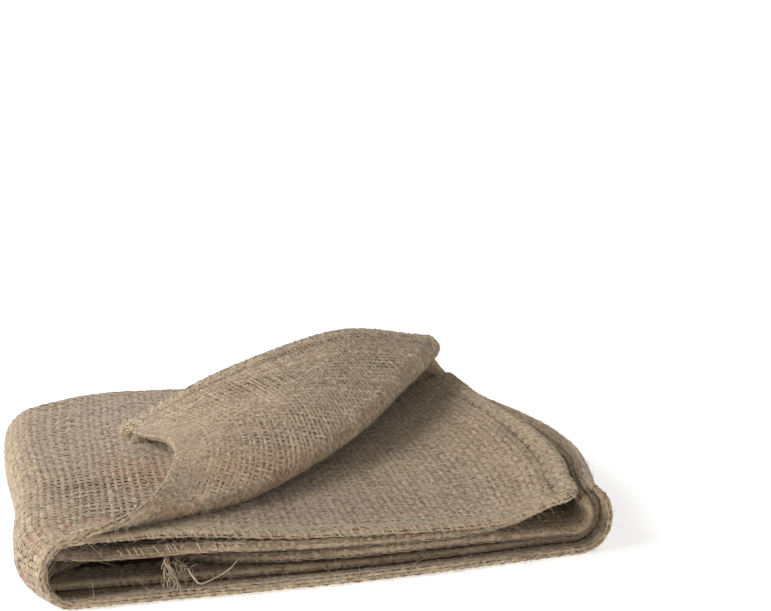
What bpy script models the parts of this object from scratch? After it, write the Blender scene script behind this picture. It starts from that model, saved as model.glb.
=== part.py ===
"""A jute sack, folded in four along its length and then in two across its width.

It lies flat with its mouth and its bottom seam at the front. The mouth corner beside
the sewn side is turned back over the bundle as a raised flap. The two walls of the
sack lie together, so the solid is one back-and-forth sheet of their joint thickness.
"""

import bpy
import numpy as np

MM = 0.001

# Cloth, millimetres.
PAIR_THICKNESS = 2.4   # both walls pressed together
LAYER_PITCH = 3.2      # from one folded layer to the next
INNER_LAYER = 3        # the mouth layer is 0, and this one lies deepest in the stack

# Cross-section of the bundle, in millimetres from its left front corner.
RIGHT_EDGE_X = 280.0   # the sewn side of the upper stack
LEFT_TURN_X = 8.5      # centre line of the rolled left side
RIGHT_TURN_RADIUS = 18.0
RIGHT_TURN_DEG = 142.0
BUNDLE_CENTRE = (145.45, 135.28)  # plan place of the model's origin

# Height of the bundle's top over its width: (x, height).
TOP_PROFILE = (
    (8.5, 33.0), (45.0, 33.6), (81.0, 33.2), (127.0, 29.2), (163.0, 27.6),
    (199.0, 27.2), (249.0, 31.0), (272.0, 37.0), (280.0, 38.6),
)

# Where the folded edges lie, by share of the way round the section from the sewn side:
# (share, mouth y, mouth tuck, front fold y, bottom seam y, back fold y, fold's top layer,
# fold's bottom layer). The mouth edge tucks in under the bundle by so many layers, and the
# front fold hangs looser than the stack, so its two layers have depths of their own.
EDGE_ROWS = (
    (0.00, 4.0, 0.0, 22.0, 6.0, 266.0, 2.0, 3.0),
    (0.05, 4.0, 0.0, 14.0, 5.0, 267.0, 2.1, 3.0),
    (0.10, 4.0, 0.0, 9.0, 4.0, 268.0, 2.1, 3.0),
    (0.16, 4.0, 0.0, 8.0, 6.0, 268.0, 2.1, 3.0),
    (0.22, 4.0, 0.0, 8.0, 8.0, 269.0, 2.2, 3.1),
    (0.33, 5.0, 0.0, 8.0, 11.0, 268.0, 2.8, 3.8),
    (0.39, 3.0, 0.0, 9.0, 10.0, 260.0, 3.0, 4.0),
    (0.43, 2.0, 0.1, 11.0, 12.0, 243.0, 2.5, 3.5),
    (0.46, 1.0, 0.2, 14.0, 15.0, 233.0, 2.1, 3.4),
    (0.50, 0.0, 0.4, 24.0, 18.0, 245.0, 2.1, 3.2),
    (0.56, -0.5, 0.5, 44.0, 17.0, 259.0, 2.1, 3.0),
    (0.64, 0.0, 0.5, 22.0, 16.0, 264.0, 2.3, 3.2),
    (0.72, 2.0, 0.5, 11.0, 16.0, 266.0, 2.9, 3.8),
    (0.82, 4.0, 0.5, 12.0, 17.0, 266.0, 2.9, 3.8),
    (0.92, 10.0, 0.3, 16.0, 22.0, 260.0, 2.4, 3.3),
    (1.00, 16.0, 0.0, 19.0, 24.0, 250.0, 2.1, 3.1),
)
TUCK_DEPTH = 15.0             # how far behind the mouth edge its tuck starts

# The flap, by the column of cloth that leads to it. Each row is (column x, fold x, fold y,
# fold height, fold radius, curl, edge x, edge y, edge height, inner rise, outer rise, bow).
# A curl of 1 is a whole turn back. The rises are how far the flap stands above the straight way
# from the fold to its free edge, at a third and two thirds of it, and the bow is how far
# forward it swings there.
FLAP_ROWS = (
    (16.0, 16.0, 17.0, 37.6, 5.4, 0.08, 16.0, 3.2, 31.4, 0.0, 0.0, 0.0),
    (28.0, 28.0, 14.0, 37.8, 5.4, 0.12, 28.0, 5.0, 33.4, 0.0, 0.0, 0.0),
    (38.0, 38.0, 12.5, 37.4, 5.2, 0.20, 38.0, 8.0, 35.4, 0.0, 0.0, 0.0),
    (48.0, 48.5, 13.5, 37.1, 4.8, 0.42, 47.5, 11.5, 37.4, 0.0, 0.0, 0.0),
    (60.0, 61.5, 19.5, 36.2, 4.2, 0.70, 58.5, 20.5, 41.4, 0.0, 0.0, 0.0),
    (80.0, 82.0, 29.5, 35.4, 3.7, 0.95, 67.0, 36.0, 43.6, 0.0, 0.0, 0.0),
    (104.0, 106.0, 43.0, 34.3, 3.6, 1.00, 74.0, 60.0, 44.8, 0.6, 1.0, 0.0),
    (133.0, 134.0, 66.0, 35.6, 4.0, 1.00, 77.5, 77.0, 46.0, 2.6, 3.6, 1.0),
    (162.0, 162.0, 97.0, 38.6, 4.8, 1.00, 77.0, 95.0, 46.4, 4.6, 4.6, 2.0),
    (191.0, 190.0, 131.0, 43.6, 5.8, 1.00, 74.0, 112.0, 45.0, 8.2, 7.6, 4.0),
    (220.0, 217.0, 169.0, 48.8, 6.6, 1.00, 68.0, 130.0, 42.0, 12.8, 10.8, 7.0),
    (250.0, 242.0, 208.0, 53.6, 7.4, 1.00, 61.0, 151.0, 38.8, 16.8, 15.2, 11.0),
    (280.0, 262.0, 244.0, 58.0, 8.0, 1.00, 55.0, 173.0, 36.6, 21.3, 20.1, 15.0),
)
FLAP_START_X = (16.0, 30.0)   # columns over which the lying mouth edge passes into the flap's rows
HELIX_SHARE = 0.8             # a column crosses the fold at a slant
INNER_BOW = 0.6               # share of the bow that is reached a third of the way along

# Sideways drift of the bundle along its depth, and how far its right side uncurls towards the
# back: (y, left side shift, sewn side shift, right turn shift, uncurled share).
DRIFT_ROWS = (
    (0.0, 2.0, -14.0, -7.5, 0.0), (30.0, 3.5, -9.0, -7.5, 0.0), (58.0, 2.5, -2.0, 0.0, 0.0),
    (88.0, 3.0, 1.0, 7.0, 0.0), (120.0, 0.0, 2.0, 8.0, 0.0), (170.0, -5.0, -3.0, 2.0, 0.1),
    (225.0, -7.0, -6.0, -4.0, 0.25), (270.0, -7.0, -6.0, -8.0, 0.3),
)
FRONT_TUCK = (14.0, 34.0)     # the rolled left side narrows by this much over this depth

PLAIN_REACH = 40.0            # depth of the mouth layer's front rows where it only lies flat

# Mesh density.
TOP_COLUMNS = 17
LEFT_TURN_COLUMNS = 8
BOTTOM_COLUMNS = 8
RIGHT_TURN_COLUMNS = 6
FLAP_STEPS = 8
NOSE_STEPS = 6
OPEN_STEPS = 6
STATIONS = (26.0, 38.0, 52.0, 72.0, 98.0, 130.0, 162.0, 205.0)   # y of the rows of the flat runs
STATION_GAP = 1.5             # rows behind a fold that lies deeper than a station keep this far apart
OUTER_TURN_STEPS = 5
INNER_TURN_STEPS = 4

JUTE = (0.42, 0.34, 0.25, 1.0)


def smooth(at, table):
    """Value of each column after the first at these places, by smooth cubic steps through the rows."""
    rows = np.asarray(table, float)
    knots, values = rows[:, 0], rows[:, 1:]
    slopes = np.gradient(values, knots, axis=0)
    at = np.clip(np.asarray(at, float), knots[0], knots[-1])
    left = np.clip(np.searchsorted(knots, at, side="right") - 1, 0, len(knots) - 2)
    span = knots[left + 1] - knots[left]
    t = ((at - knots[left]) / span)[..., None]
    span = span[..., None]
    return (
        (2 * t**3 - 3 * t**2 + 1) * values[left]
        + (t**3 - 2 * t**2 + t) * span * slopes[left]
        + (3 * t**2 - 2 * t**3) * values[left + 1]
        + (t**3 - t**2) * span * slopes[left + 1]
    )


def ramp(at, low, high):
    """0 below low, 1 above high, and an even rise between."""
    t = np.clip((np.asarray(at, float) - low) / (high - low), 0.0, 1.0)
    return t * t * (3 - 2 * t)


def section_curve():
    """The outer face of the rolled bundle seen from the front, as (x, z), with its inward normals."""
    top_x = np.linspace(RIGHT_EDGE_X, LEFT_TURN_X, 300)
    top = np.stack([top_x, smooth(top_x, TOP_PROFILE)[:, 0]], -1)
    half = top[-1, 1] / 2
    turn = np.radians(np.linspace(90, 270, 121))[1:]
    left = np.stack([LEFT_TURN_X + half * np.cos(turn), half + half * np.sin(turn)], -1)
    bottom_x = np.linspace(LEFT_TURN_X, RIGHT_EDGE_X, 300)[1:]
    bottom = np.stack([bottom_x, np.zeros_like(bottom_x)], -1)
    turn = np.radians(np.linspace(-90, -90 + RIGHT_TURN_DEG, 121))[1:]
    right = np.stack(
        [RIGHT_EDGE_X + RIGHT_TURN_RADIUS * np.cos(turn), RIGHT_TURN_RADIUS * (1 + np.sin(turn))], -1
    )
    curve = np.concatenate([top, left, bottom, right])
    length = np.concatenate([[0.0], np.cumsum(np.linalg.norm(np.diff(curve, axis=0), axis=1))])
    along = np.gradient(curve, length, axis=0)
    along /= np.linalg.norm(along, axis=1)[:, None]
    inward = np.stack([-along[:, 1], along[:, 0]], -1)
    return length / length[-1], curve, inward, length[-1]


SHARES, CURVE, INWARD, SECTION_LENGTH = section_curve()
TURN_SHARES = (
    np.interp(-LEFT_TURN_X, -CURVE[:300, 0], SHARES[:300]),   # top meets the left turn
    SHARES[300 + 120 - 1],                                     # left turn meets the bottom
    SHARES[300 + 120 + 299 - 1],                               # bottom meets the right turn
)


def stacked(share, depth):
    """(x, z) of the middle of the cloth at this share of the section and this layer number."""
    inset = PAIR_THICKNESS / 2 + LAYER_PITCH * depth
    place = [
        np.interp(share, SHARES, CURVE[:, k]) + inset * np.interp(share, SHARES, INWARD[:, k])
        for k in (0, 1)
    ]
    return np.stack(place, -1)


def in_stack(share, depth, y):
    """Place of the middle of the cloth in the lying stack, with the bundle's own drift."""
    y = y + 0 * share
    left, sewn, right, uncurled = np.moveaxis(smooth(y, DRIFT_ROWS), -1, 0)
    past_turn = np.maximum(share - TURN_SHARES[2], 0.0)
    x, z = np.moveaxis(stacked(share - uncurled * past_turn, depth), -1, 0)
    tuck, tuck_depth = FRONT_TUCK
    left = left + tuck * np.clip(1 - y / tuck_depth, 0.0, 1.0) ** 2
    x = (
        x
        + left * (1 - ramp(x, -10.0, 60.0))
        + sewn * (1 - ramp(share, 0.0, 0.13))
        + right * ramp(share, 0.83, 0.93)
    )
    return np.stack([x, y, z], -1)


def turn_back(share, centre_y, centre_depth, half_depth, facing, steps, outward=1):
    """A fold at the front or back: the cloth passes from one layer to another in a half circle."""
    angles = np.linspace(-90, 90, steps + 1)[1:-1] * outward
    rows = []
    for angle in np.radians(angles):
        depth = centre_depth + half_depth * np.sin(angle)
        reach = half_depth * LAYER_PITCH * np.cos(angle)
        rows.append(in_stack(share, depth, centre_y + facing * reach))
    return rows


def run(share, depths, start_y, end_y):
    """A flat run of the cloth between two folds, with rows at the bundle's stations in between."""
    start_depth, end_depth = depths
    front = np.minimum(start_y, end_y)
    stations = [np.maximum(y, front + STATION_GAP * k) for k, y in enumerate(STATIONS, 1)]
    if np.mean(end_y) < np.mean(start_y):
        stations.reverse()
    rows = [in_stack(share, start_depth, start_y)]
    for y in stations:
        part = ramp((y - start_y) / (end_y - start_y), 0.0, 1.0)
        rows.append(in_stack(share, start_depth + (end_depth - start_depth) * part, y))
    return rows + [in_stack(share, end_depth, end_y)]


def flap_column(columns, back_y):
    """Rows of the mouth layer where its corner is turned back: edge, flap, fold, then the flat run."""
    fold_x, fold_y, fold_z, radius, curl, edge_x, edge_y, edge_z, inner_rise, outer_rise, bow = smooth(
        columns, FLAP_ROWS
    ).T
    ahead, behind = (smooth(columns + step, FLAP_ROWS)[:, :2] for step in (1.0, -1.0))
    along = ahead - behind
    along /= np.maximum(np.linalg.norm(along, axis=1), 1e-9)[:, None]
    outward = np.stack([along[:, 1], -along[:, 0]], -1)
    centre = np.stack([fold_x, fold_y], -1) - outward * radius[:, None]

    def nose(angle):
        """The fold's rounded edge, at this angle up its half circle."""
        plan = centre + outward * (radius * np.cos(angle))[:, None]
        plan = plan - along * (HELIX_SHARE * curl * radius * angle)[:, None]
        return np.column_stack([plan, fold_z + radius * np.sin(angle)])

    def between(share, rise, swing):
        """A point of the flap this share of the way from the fold to the free edge."""
        point = top + (edge - top) * share
        return point + np.column_stack([0 * rise, -swing, rise])

    top = nose((curl - 0.5) * np.pi)
    edge = np.stack([edge_x, edge_y, edge_z], -1)
    knots = [edge, between(2 / 3, outer_rise, bow), between(1 / 3, inner_rise, INNER_BOW * bow), top]
    table = [np.append(k, knot) for k, knot in enumerate(knots)]
    last = len(knots) - 1
    rows = [smooth(last * k / FLAP_STEPS, table).reshape(-1, 3) for k in range(FLAP_STEPS)]
    rows += [nose(curl * (1 - k / NOSE_STEPS) * np.pi - np.pi / 2) for k in range(NOSE_STEPS + 1)]
    base = rows[-1]
    back = np.stack([base[:, 0], back_y, base[:, 2]], -1)
    return rows + [base + (back - base) * k / OPEN_STEPS for k in range(1, OPEN_STEPS + 1)]


def sack_rows(share):
    """The middle surface of the folded cloth, row by row from the mouth to the bottom seam."""
    mouth_y, mouth_tuck, front_y, seam_y, back_y, fold_top, fold_bottom = smooth(share, EDGE_ROWS).T
    half_outer = INNER_LAYER / 2
    back_centre = back_y - half_outer * LAYER_PITCH
    slant = np.abs(np.gradient(back_y, share)) / SECTION_LENGTH
    inner_back = back_centre - 2.0 - 6.0 * slant
    fold_middle = (fold_top + fold_bottom) / 2
    fold_half = (fold_bottom - fold_top) / 2
    front_centre = front_y + fold_half * LAYER_PITCH
    columns = np.where(share < TURN_SHARES[0], stacked(share, 0)[:, 0], -1e3)
    flap_columns = np.clip(columns, FLAP_ROWS[0][0], FLAP_ROWS[-1][0])
    # The mouth layer, lying flat, and then with its corner turned back.
    turned_steps = FLAP_STEPS + NOSE_STEPS
    reach = np.where(columns > 0.0, smooth(flap_columns, FLAP_ROWS)[:, 1], PLAIN_REACH) + 4.0
    flat = []
    for k in range(turned_steps + 1):
        ahead = reach * k / turned_steps
        tuck = mouth_tuck * np.clip(1 - ahead / TUCK_DEPTH, 0.0, 1.0) ** 2
        flat.append(in_stack(share, tuck, mouth_y + ahead))
    flat += [
        in_stack(share, 0, mouth_y + reach + (back_centre - mouth_y - reach) * k / OPEN_STEPS)
        for k in range(1, OPEN_STEPS + 1)
    ]
    turned = flap_column(flap_columns, back_centre)
    share_turned = ramp(columns, *FLAP_START_X)[:, None]
    rows = [a + (b - a) * share_turned for a, b in zip(flat, turned)]
    lift = rows[-1] - flat[-1]
    # Round the back to the deepest layer, where the lift of the flap dies away.
    for k, row in enumerate(
        turn_back(share, back_centre, half_outer, half_outer, 1, OUTER_TURN_STEPS), 1
    ):
        rows.append(row + lift * (1 + np.cos(np.pi * k / OUTER_TURN_STEPS)) / 2)
    rows += run(share, (INNER_LAYER, fold_bottom), back_centre, front_centre)
    rows += turn_back(share, front_centre, fold_middle, fold_half, -1, INNER_TURN_STEPS, -1)
    rows += run(share, (fold_top, 2), front_centre, inner_back)
    rows += turn_back(share, inner_back, 1.5, 0.5, 1, INNER_TURN_STEPS, -1)
    rows += run(share, (1, 1), inner_back, seam_y)
    return np.stack(rows, 0)


def settle(points):
    """Wrinkles the bundle a little as a whole, so that no layer crosses another and the bottom stays flat."""
    x, y, z = np.moveaxis(points, -1, 0)
    raised = np.clip((z - 14.0) / 14.0, 0.0, 1.0)
    moved = points.copy()
    moved[..., 1] = y + 1.2 * np.sin(x / 31.0) * (1 - np.clip(z / 33.0, 0.0, 1.0))
    moved[..., 2] = z + raised * (0.7 * np.sin(x / 23.0 + y / 41.0) + 0.5 * np.sin(y / 27.0 - x / 60.0))
    return moved


def section_shares():
    """Shares of the section that the mesh's columns stand at: close in the turns, wide on the flats."""
    top_end, bottom_start, bottom_end = TURN_SHARES
    return np.concatenate([
        np.linspace(0.0, top_end, TOP_COLUMNS, endpoint=False),
        np.linspace(top_end, bottom_start, LEFT_TURN_COLUMNS, endpoint=False),
        np.linspace(bottom_start, bottom_end, BOTTOM_COLUMNS, endpoint=False),
        np.linspace(bottom_end, 1.0, RIGHT_TURN_COLUMNS + 1),
    ])


def cloth_sheet(name, collection):
    """The middle surface of the folded cloth, as an open mesh that Solidify gives its thickness."""
    points = settle(sack_rows(section_shares()))
    points[..., :2] -= BUNDLE_CENTRE
    row_count, column_count = points.shape[:2]
    quads = [
        (r * column_count + c, r * column_count + c + 1, (r + 1) * column_count + c + 1, (r + 1) * column_count + c)
        for r in range(row_count - 1)
        for c in range(column_count - 1)
    ]
    mesh = bpy.data.meshes.new(name)
    mesh.from_pydata((points.reshape(-1, 3) * MM).tolist(), [], quads)
    mesh.shade_smooth()
    sheet = bpy.data.objects.new(name, mesh)
    collection.objects.link(sheet)
    return sheet


def jute_material():
    material = bpy.data.materials.new("jute_cloth")
    material.use_nodes = True
    shader = material.node_tree.nodes["Principled BSDF"]
    shader.inputs["Base Color"].default_value = JUTE
    shader.inputs["Roughness"].default_value = 0.95
    shader.inputs["Metallic"].default_value = 0.0
    return material


def clear_scene():
    for thing in list(bpy.data.objects):
        bpy.data.objects.remove(thing, do_unlink=True)


def main():
    clear_scene()
    collection = bpy.data.collections.new("folded_jute_sack")
    bpy.context.scene.collection.children.link(collection)
    sack = cloth_sheet("sack", collection)
    wall = sack.modifiers.new("both_walls", "SOLIDIFY")
    wall.thickness = PAIR_THICKNESS * MM
    wall.offset = 0.0
    sack.data.materials.append(jute_material())


main()
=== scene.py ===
"""A folded jute sack, dressed yarn by yarn.

The sack's cloth is folded in four along its length and in two across its width. Its folds
are worked out from short tables, and every yarn that shows is laid on them: warps in pairs
round the sack, wefts along it. The two walls, the sewing, loose threads and hairs follow.
"""

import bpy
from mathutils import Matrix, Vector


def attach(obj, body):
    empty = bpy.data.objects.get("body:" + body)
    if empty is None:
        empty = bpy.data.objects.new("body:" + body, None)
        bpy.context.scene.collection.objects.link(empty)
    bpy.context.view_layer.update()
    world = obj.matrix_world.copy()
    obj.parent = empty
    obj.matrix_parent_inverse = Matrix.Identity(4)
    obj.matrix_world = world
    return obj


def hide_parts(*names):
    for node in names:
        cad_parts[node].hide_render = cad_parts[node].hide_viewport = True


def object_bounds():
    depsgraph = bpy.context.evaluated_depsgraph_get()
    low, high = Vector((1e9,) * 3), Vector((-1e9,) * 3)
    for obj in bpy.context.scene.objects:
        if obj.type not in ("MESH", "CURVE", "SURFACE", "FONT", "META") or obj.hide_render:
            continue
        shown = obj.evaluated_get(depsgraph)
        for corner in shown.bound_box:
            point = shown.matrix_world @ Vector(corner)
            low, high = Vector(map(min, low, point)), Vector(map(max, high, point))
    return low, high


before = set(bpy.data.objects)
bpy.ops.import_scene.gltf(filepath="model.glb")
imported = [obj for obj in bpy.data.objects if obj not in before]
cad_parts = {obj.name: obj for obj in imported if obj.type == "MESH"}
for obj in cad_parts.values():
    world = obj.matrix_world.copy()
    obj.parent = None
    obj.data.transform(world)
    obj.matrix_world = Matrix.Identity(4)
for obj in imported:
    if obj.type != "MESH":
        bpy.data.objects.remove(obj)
CAD_BOX = [list(corner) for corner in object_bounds()]

import bpy
import numpy as np
from mathutils import Vector

bl_info = {
    "name": "Folded Jute Sack",
    "version": (1, 0, 0),
    "blender": (4, 5, 0),
    "location": "View3D > Sidebar > Sack",
    "description": "Lays the walls, yarns, sewing and loose threads of a folded jute sack",
    "category": "Add Mesh",
}

MM = 0.001

# The folds, in millimetres from the bundle's left front corner.
PAIR_THICKNESS = 2.4
LAYER_PITCH = 3.2
INNER_LAYER = 3
RIGHT_EDGE_X = 280.0
LEFT_TURN_X = 8.5
RIGHT_TURN_RADIUS = 18.0
RIGHT_TURN_DEG = 142.0
BUNDLE_CENTRE = np.array([145.45, 135.28, 0.0])

# Height of the bundle's top over its width: (x, height).
TOP_PROFILE = (
    (8.5, 33.0), (45.0, 33.6), (81.0, 33.2), (127.0, 29.2), (163.0, 27.6),
    (199.0, 27.2), (249.0, 31.0), (272.0, 37.0), (280.0, 38.6),
)

# Where the folded edges lie, by share of the way round the section from the sewn side:
# (share, mouth y, mouth tuck, front fold y, bottom seam y, back fold y, fold's top layer,
# fold's bottom layer).
EDGE_ROWS = (
    (0.00, 4.0, 0.0, 22.0, 6.0, 266.0, 2.0, 3.0),
    (0.05, 4.0, 0.0, 14.0, 5.0, 267.0, 2.1, 3.0),
    (0.10, 4.0, 0.0, 9.0, 4.0, 268.0, 2.1, 3.0),
    (0.16, 4.0, 0.0, 8.0, 6.0, 268.0, 2.1, 3.0),
    (0.22, 4.0, 0.0, 8.0, 8.0, 269.0, 2.2, 3.1),
    (0.33, 5.0, 0.0, 8.0, 11.0, 268.0, 2.8, 3.8),
    (0.39, 3.0, 0.0, 9.0, 10.0, 260.0, 3.0, 4.0),
    (0.43, 2.0, 0.1, 11.0, 12.0, 243.0, 2.5, 3.5),
    (0.46, 1.0, 0.2, 14.0, 15.0, 233.0, 2.1, 3.4),
    (0.50, 0.0, 0.4, 24.0, 18.0, 245.0, 2.1, 3.2),
    (0.56, -0.5, 0.5, 44.0, 17.0, 259.0, 2.1, 3.0),
    (0.64, 0.0, 0.5, 22.0, 16.0, 264.0, 2.3, 3.2),
    (0.72, 2.0, 0.5, 11.0, 16.0, 266.0, 2.9, 3.8),
    (0.82, 4.0, 0.5, 12.0, 17.0, 266.0, 2.9, 3.8),
    (0.92, 10.0, 0.3, 16.0, 22.0, 260.0, 2.4, 3.3),
    (1.00, 16.0, 0.0, 19.0, 24.0, 250.0, 2.1, 3.1),
)
TUCK_DEPTH = 15.0

# The flap, by the column of cloth that leads to it: (column x, fold x, fold y, fold height,
# fold radius, curl, edge x, edge y, edge height, inner rise, outer rise, bow).
FLAP_ROWS = (
    (16.0, 16.0, 17.0, 37.6, 5.4, 0.08, 16.0, 3.2, 31.4, 0.0, 0.0, 0.0),
    (28.0, 28.0, 14.0, 37.8, 5.4, 0.12, 28.0, 5.0, 33.4, 0.0, 0.0, 0.0),
    (38.0, 38.0, 12.5, 37.4, 5.2, 0.20, 38.0, 8.0, 35.4, 0.0, 0.0, 0.0),
    (48.0, 48.5, 13.5, 37.1, 4.8, 0.42, 47.5, 11.5, 37.4, 0.0, 0.0, 0.0),
    (60.0, 61.5, 19.5, 36.2, 4.2, 0.70, 58.5, 20.5, 41.4, 0.0, 0.0, 0.0),
    (80.0, 82.0, 29.5, 35.4, 3.7, 0.95, 67.0, 36.0, 43.6, 0.0, 0.0, 0.0),
    (104.0, 106.0, 43.0, 34.3, 3.6, 1.00, 74.0, 60.0, 44.8, 0.6, 1.0, 0.0),
    (133.0, 134.0, 66.0, 35.6, 4.0, 1.00, 77.5, 77.0, 46.0, 2.6, 3.6, 1.0),
    (162.0, 162.0, 97.0, 38.6, 4.8, 1.00, 77.0, 95.0, 46.4, 4.6, 4.6, 2.0),
    (191.0, 190.0, 131.0, 43.6, 5.8, 1.00, 74.0, 112.0, 45.0, 8.2, 7.6, 4.0),
    (220.0, 217.0, 169.0, 48.8, 6.6, 1.00, 68.0, 130.0, 42.0, 12.8, 10.8, 7.0),
    (250.0, 242.0, 208.0, 53.6, 7.4, 1.00, 61.0, 151.0, 38.8, 16.8, 15.2, 11.0),
    (280.0, 262.0, 244.0, 58.0, 8.0, 1.00, 55.0, 173.0, 36.6, 21.3, 20.1, 15.0),
)
FLAP_START_X = (16.0, 30.0)
HELIX_SHARE = 0.8
INNER_BOW = 0.6

# How the bundle leans from front to back: (y, left side's shift, sewn side's shift, right turn's
# shift, share of the right turn that is uncurled).
DRIFT_ROWS = (
    (0.0, 2.0, -14.0, -7.5, 0.0), (30.0, 3.5, -9.0, -7.5, 0.0), (58.0, 2.5, -2.0, 0.0, 0.0),
    (88.0, 3.0, 1.0, 7.0, 0.0), (120.0, 0.0, 2.0, 8.0, 0.0), (170.0, -5.0, -3.0, 2.0, 0.1),
    (225.0, -7.0, -6.0, -4.0, 0.25), (270.0, -7.0, -6.0, -8.0, 0.3),
)
LEFT_DRIFT_X = (-10.0, 60.0)  # the left side's shift fades between these x
SEWN_DRIFT = (0.0, 0.13)      # and the other two between these shares of the section
RIGHT_DRIFT = (0.83, 0.93)
FRONT_TUCK = (14.0, 34.0)     # how far the left turn's front corner goes in, and over what depth
PLAIN_REACH = 40.0            # from the mouth to where its layer lies flat, away from the flap
MOUTH_SLACK = 4.0
INNER_BACK = (2.0, 6.0)       # how far the inner back fold lies before the outer: least, and by its slant
INNER_BACK_LAYERS = (1.5, 0.5)  # middle and half depth of the inner back fold
NOT_ON_TOP = -1000.0          # stands for the x of a column that doesn't lie on the bundle's top

# Slow waves of the raised layers, as sums of sines: (height, length along x, along y, phase).
TOP_WAVES = ((0.7, 23.0, 41.0, 0.0), (0.5, -60.0, 27.0, 0.0))
FLAT_HEIGHT = 14.0            # below this height the layers lie flat
EDGE_WAVE = (1.2, 31.0)       # the folded edges' wave: its height, and its length along x
EDGE_WAVE_TOP = 33.0          # height at which it has died out

# Points of the section, and rows and columns that the walls and the faces are worked out with.
FLAT_POINTS = 300
TURN_POINTS = 120
FLAP_STEPS = 22
NOSE_STEPS = 10
OPEN_STEPS = 14
OUTER_TURN_STEPS = 10
INNER_TURN_STEPS = 6
STATIONS = tuple(np.linspace(26.0, 205.0, 18))
STATION_GAP = 1.2             # rows behind a fold that lies deeper than a station keep this far apart
SEAM_STEPS = 8                # rows between the first station and the bottom seam
FACE_COLUMNS = 300
FACE_STEP = 0.6
LIP_DEGREES = (30.0, 60.0, 90.0, 120.0, 150.0)
LIP_MIDDLE = len(LIP_DEGREES) // 2
PAST_BACK, PAST_FLAT, PAST_SEAM, PAST_FRONT = 2, 6, 5, 9   # rows that a face runs on past these folds
EDGE_LINES = (0.0, 1.2, 2.5, 4.0, 5.4, 6.6, 8.0, 10.0, 12.0)   # lines of the strips that wrap the two sides
WALL_COLUMNS = (26, 12, 14, 12)   # on the section's top, left turn, bottom and right turn
WALL_TURN_DEGREES = (45.0, 90.0, 135.0)
WALL_TURN_STEP = 0.3

# The weave, millimetres. Wefts run along the sack and warps, in pairs, round it.
WEFT_PITCH = 3.75
WARP_PAIR_PITCH = 5.76
SELVEDGE_WARPS = 8            # close single warps beside the mouth, and fewer beside the seam
SEAM_WARPS = 5
SELVEDGE_PITCH = 2.05
SELVEDGE_WIDTH = 0.84         # a selvedge warp's width, as a share of another warp's
EDGE_WEFTS = (0.95, 2.85, 4.9, 7.2, 9.6)   # closer wefts beside the sewn side, from the middle of its lip
EDGE_REACH = 7.0              # width of the strip beside each side that has them
EDGE_WRAP = 10.4              # how far these strips' yarns reach round each side
CRIMP = 0.25                  # height of a yarn's wave, where the weave is closed
OPEN_CRIMP = 0.25             # share of it that an open weave loses
WARP_LIFT = 0.04              # where the weave is closed, the warps lie a little over the wefts
YARN_HALF_HEIGHT = 0.38
SHARP_ANGLE = np.radians(120.0)  # a flat yarn keeps its two edges, and a round thread is smooth all round
GROOVE_U = 14.0               # the groove that the side's stitches pull in, from the sewn side
GROOVE_SHADE_HALF_WIDTH = 1.3           # half width of the painted shade in it
CREASE_SHADE = 0.55                 # strength of the painted shade in the groove, and its strength on the seam's layer
SEAM_CREASE_SHADE = 0.25
CORNER_TAPER = 3.5            # how far from a corner its edges begin to thin out
CORNER_THINNING = 0.85
PLY_OFFSET = 0.78             # from the middle of the two walls to the middle of one wall's yarns
WALL_OFFSET = 0.34
PINCH = 0.12                  # the walls lie this much closer together beside the sewn side
PINCH_END = (20.0, 32.0)
WALL_THICKNESS = 0.30
STRIPE_PLACE = (17.0, 21.8)   # the thin red stripe's warps, from the middle of the mouth's lip
FLOOR_CLEARANCE = 0.02
SEED = 4                      # every operator draws from this, with a number of its own added
LOOSE_SEED = 60
HAIR_SEED = 40

# Where the cloth is plumper or thinner: (measured from, distance, width, height).
PLUMPNESS = (
    ("sewn side", 2.6, 3.0, 0.90), ("sewn side", 9.0, 4.5, 0.55), ("sewn side", GROOVE_U, 1.6, -0.50),
    ("folded side", 0.0, 4.0, 0.35), ("mouth", 0.0, 4.5, 0.95),
    ("seam", 1.5, 4.0, 0.75), ("seam", 8.5, 1.5, -0.30),
)

# The weave's own slow bends: (height, length along u, along v, phase).
SWAY_U = ((0.9, 70.0, 43.0, 0.0), (0.25, -45.0, 15.0, 1.0))
SWAY_V = ((0.9, 47.0, np.inf, 0.6), (0.3, 19.0, 60.0, 0.0))
SWAY_START_U = (0.0, 20.0)    # they grow between these distances from the sewn side
SWAY_START_V = (8.0, 26.0)    # and from the mouth or the seam

# How unevenly yarns are laid, spun and coloured: (length along the yarn, size).
LAID_WAVER = ((24.0, 0.18), (7.0, 0.13))
SPUN_WAVER = ((3.4, 0.09), (8.0, 0.09), (34.0, 0.09))
SPUN_SPREAD = 0.07            # from one yarn to the next
SPUN_WIDTH = (0.55, 1.6)      # thinnest and fattest, as shares
SPUN_HEIGHT = (0.7, 1.4)
SPUN_FLATNESS = 0.6
RAISED_WAVER = ((4.0, 0.07),)
TONE_WAVER = ((26.0, 0.10), (3.4, 0.16))
TONE_SPREAD = 0.12

# How far a yarn keeps from the ends of the strip that it lies on.
SIDE_GAP = 0.2

# Yarns in a closed and in an open weave: half widths of weft and warp, and half the way
# between the two warps of a pair.
CLOSED_WEAVE = (1.45, 1.04, 1.42)
OPEN_WEAVE = (0.80, 0.70, 0.98)

# How open the weave stands all over, in waves (height, length along x, along y, along z, phase)
# and in a finer dapple (height, length along x, along y, along z).
OPEN_BASE = {"mouth": 0.12, "flap": 0.20, "seam": 0.10, "front": 0.22, "edge": 0.10}
OPEN_WAVES = ((0.10, 8.3, 14.0, np.inf, 0.0), (0.10, -21.0, 6.1, 9.0, 0.0))
OPEN_DAPPLE = (0.08, 3.1, 3.7, 5.0)
MOUTH_BORDER = (15.0, 22.0)   # the weave is closed up to here from the mouth, and open from there
SEAM_BORDER = (8.0, 16.0)

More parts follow.
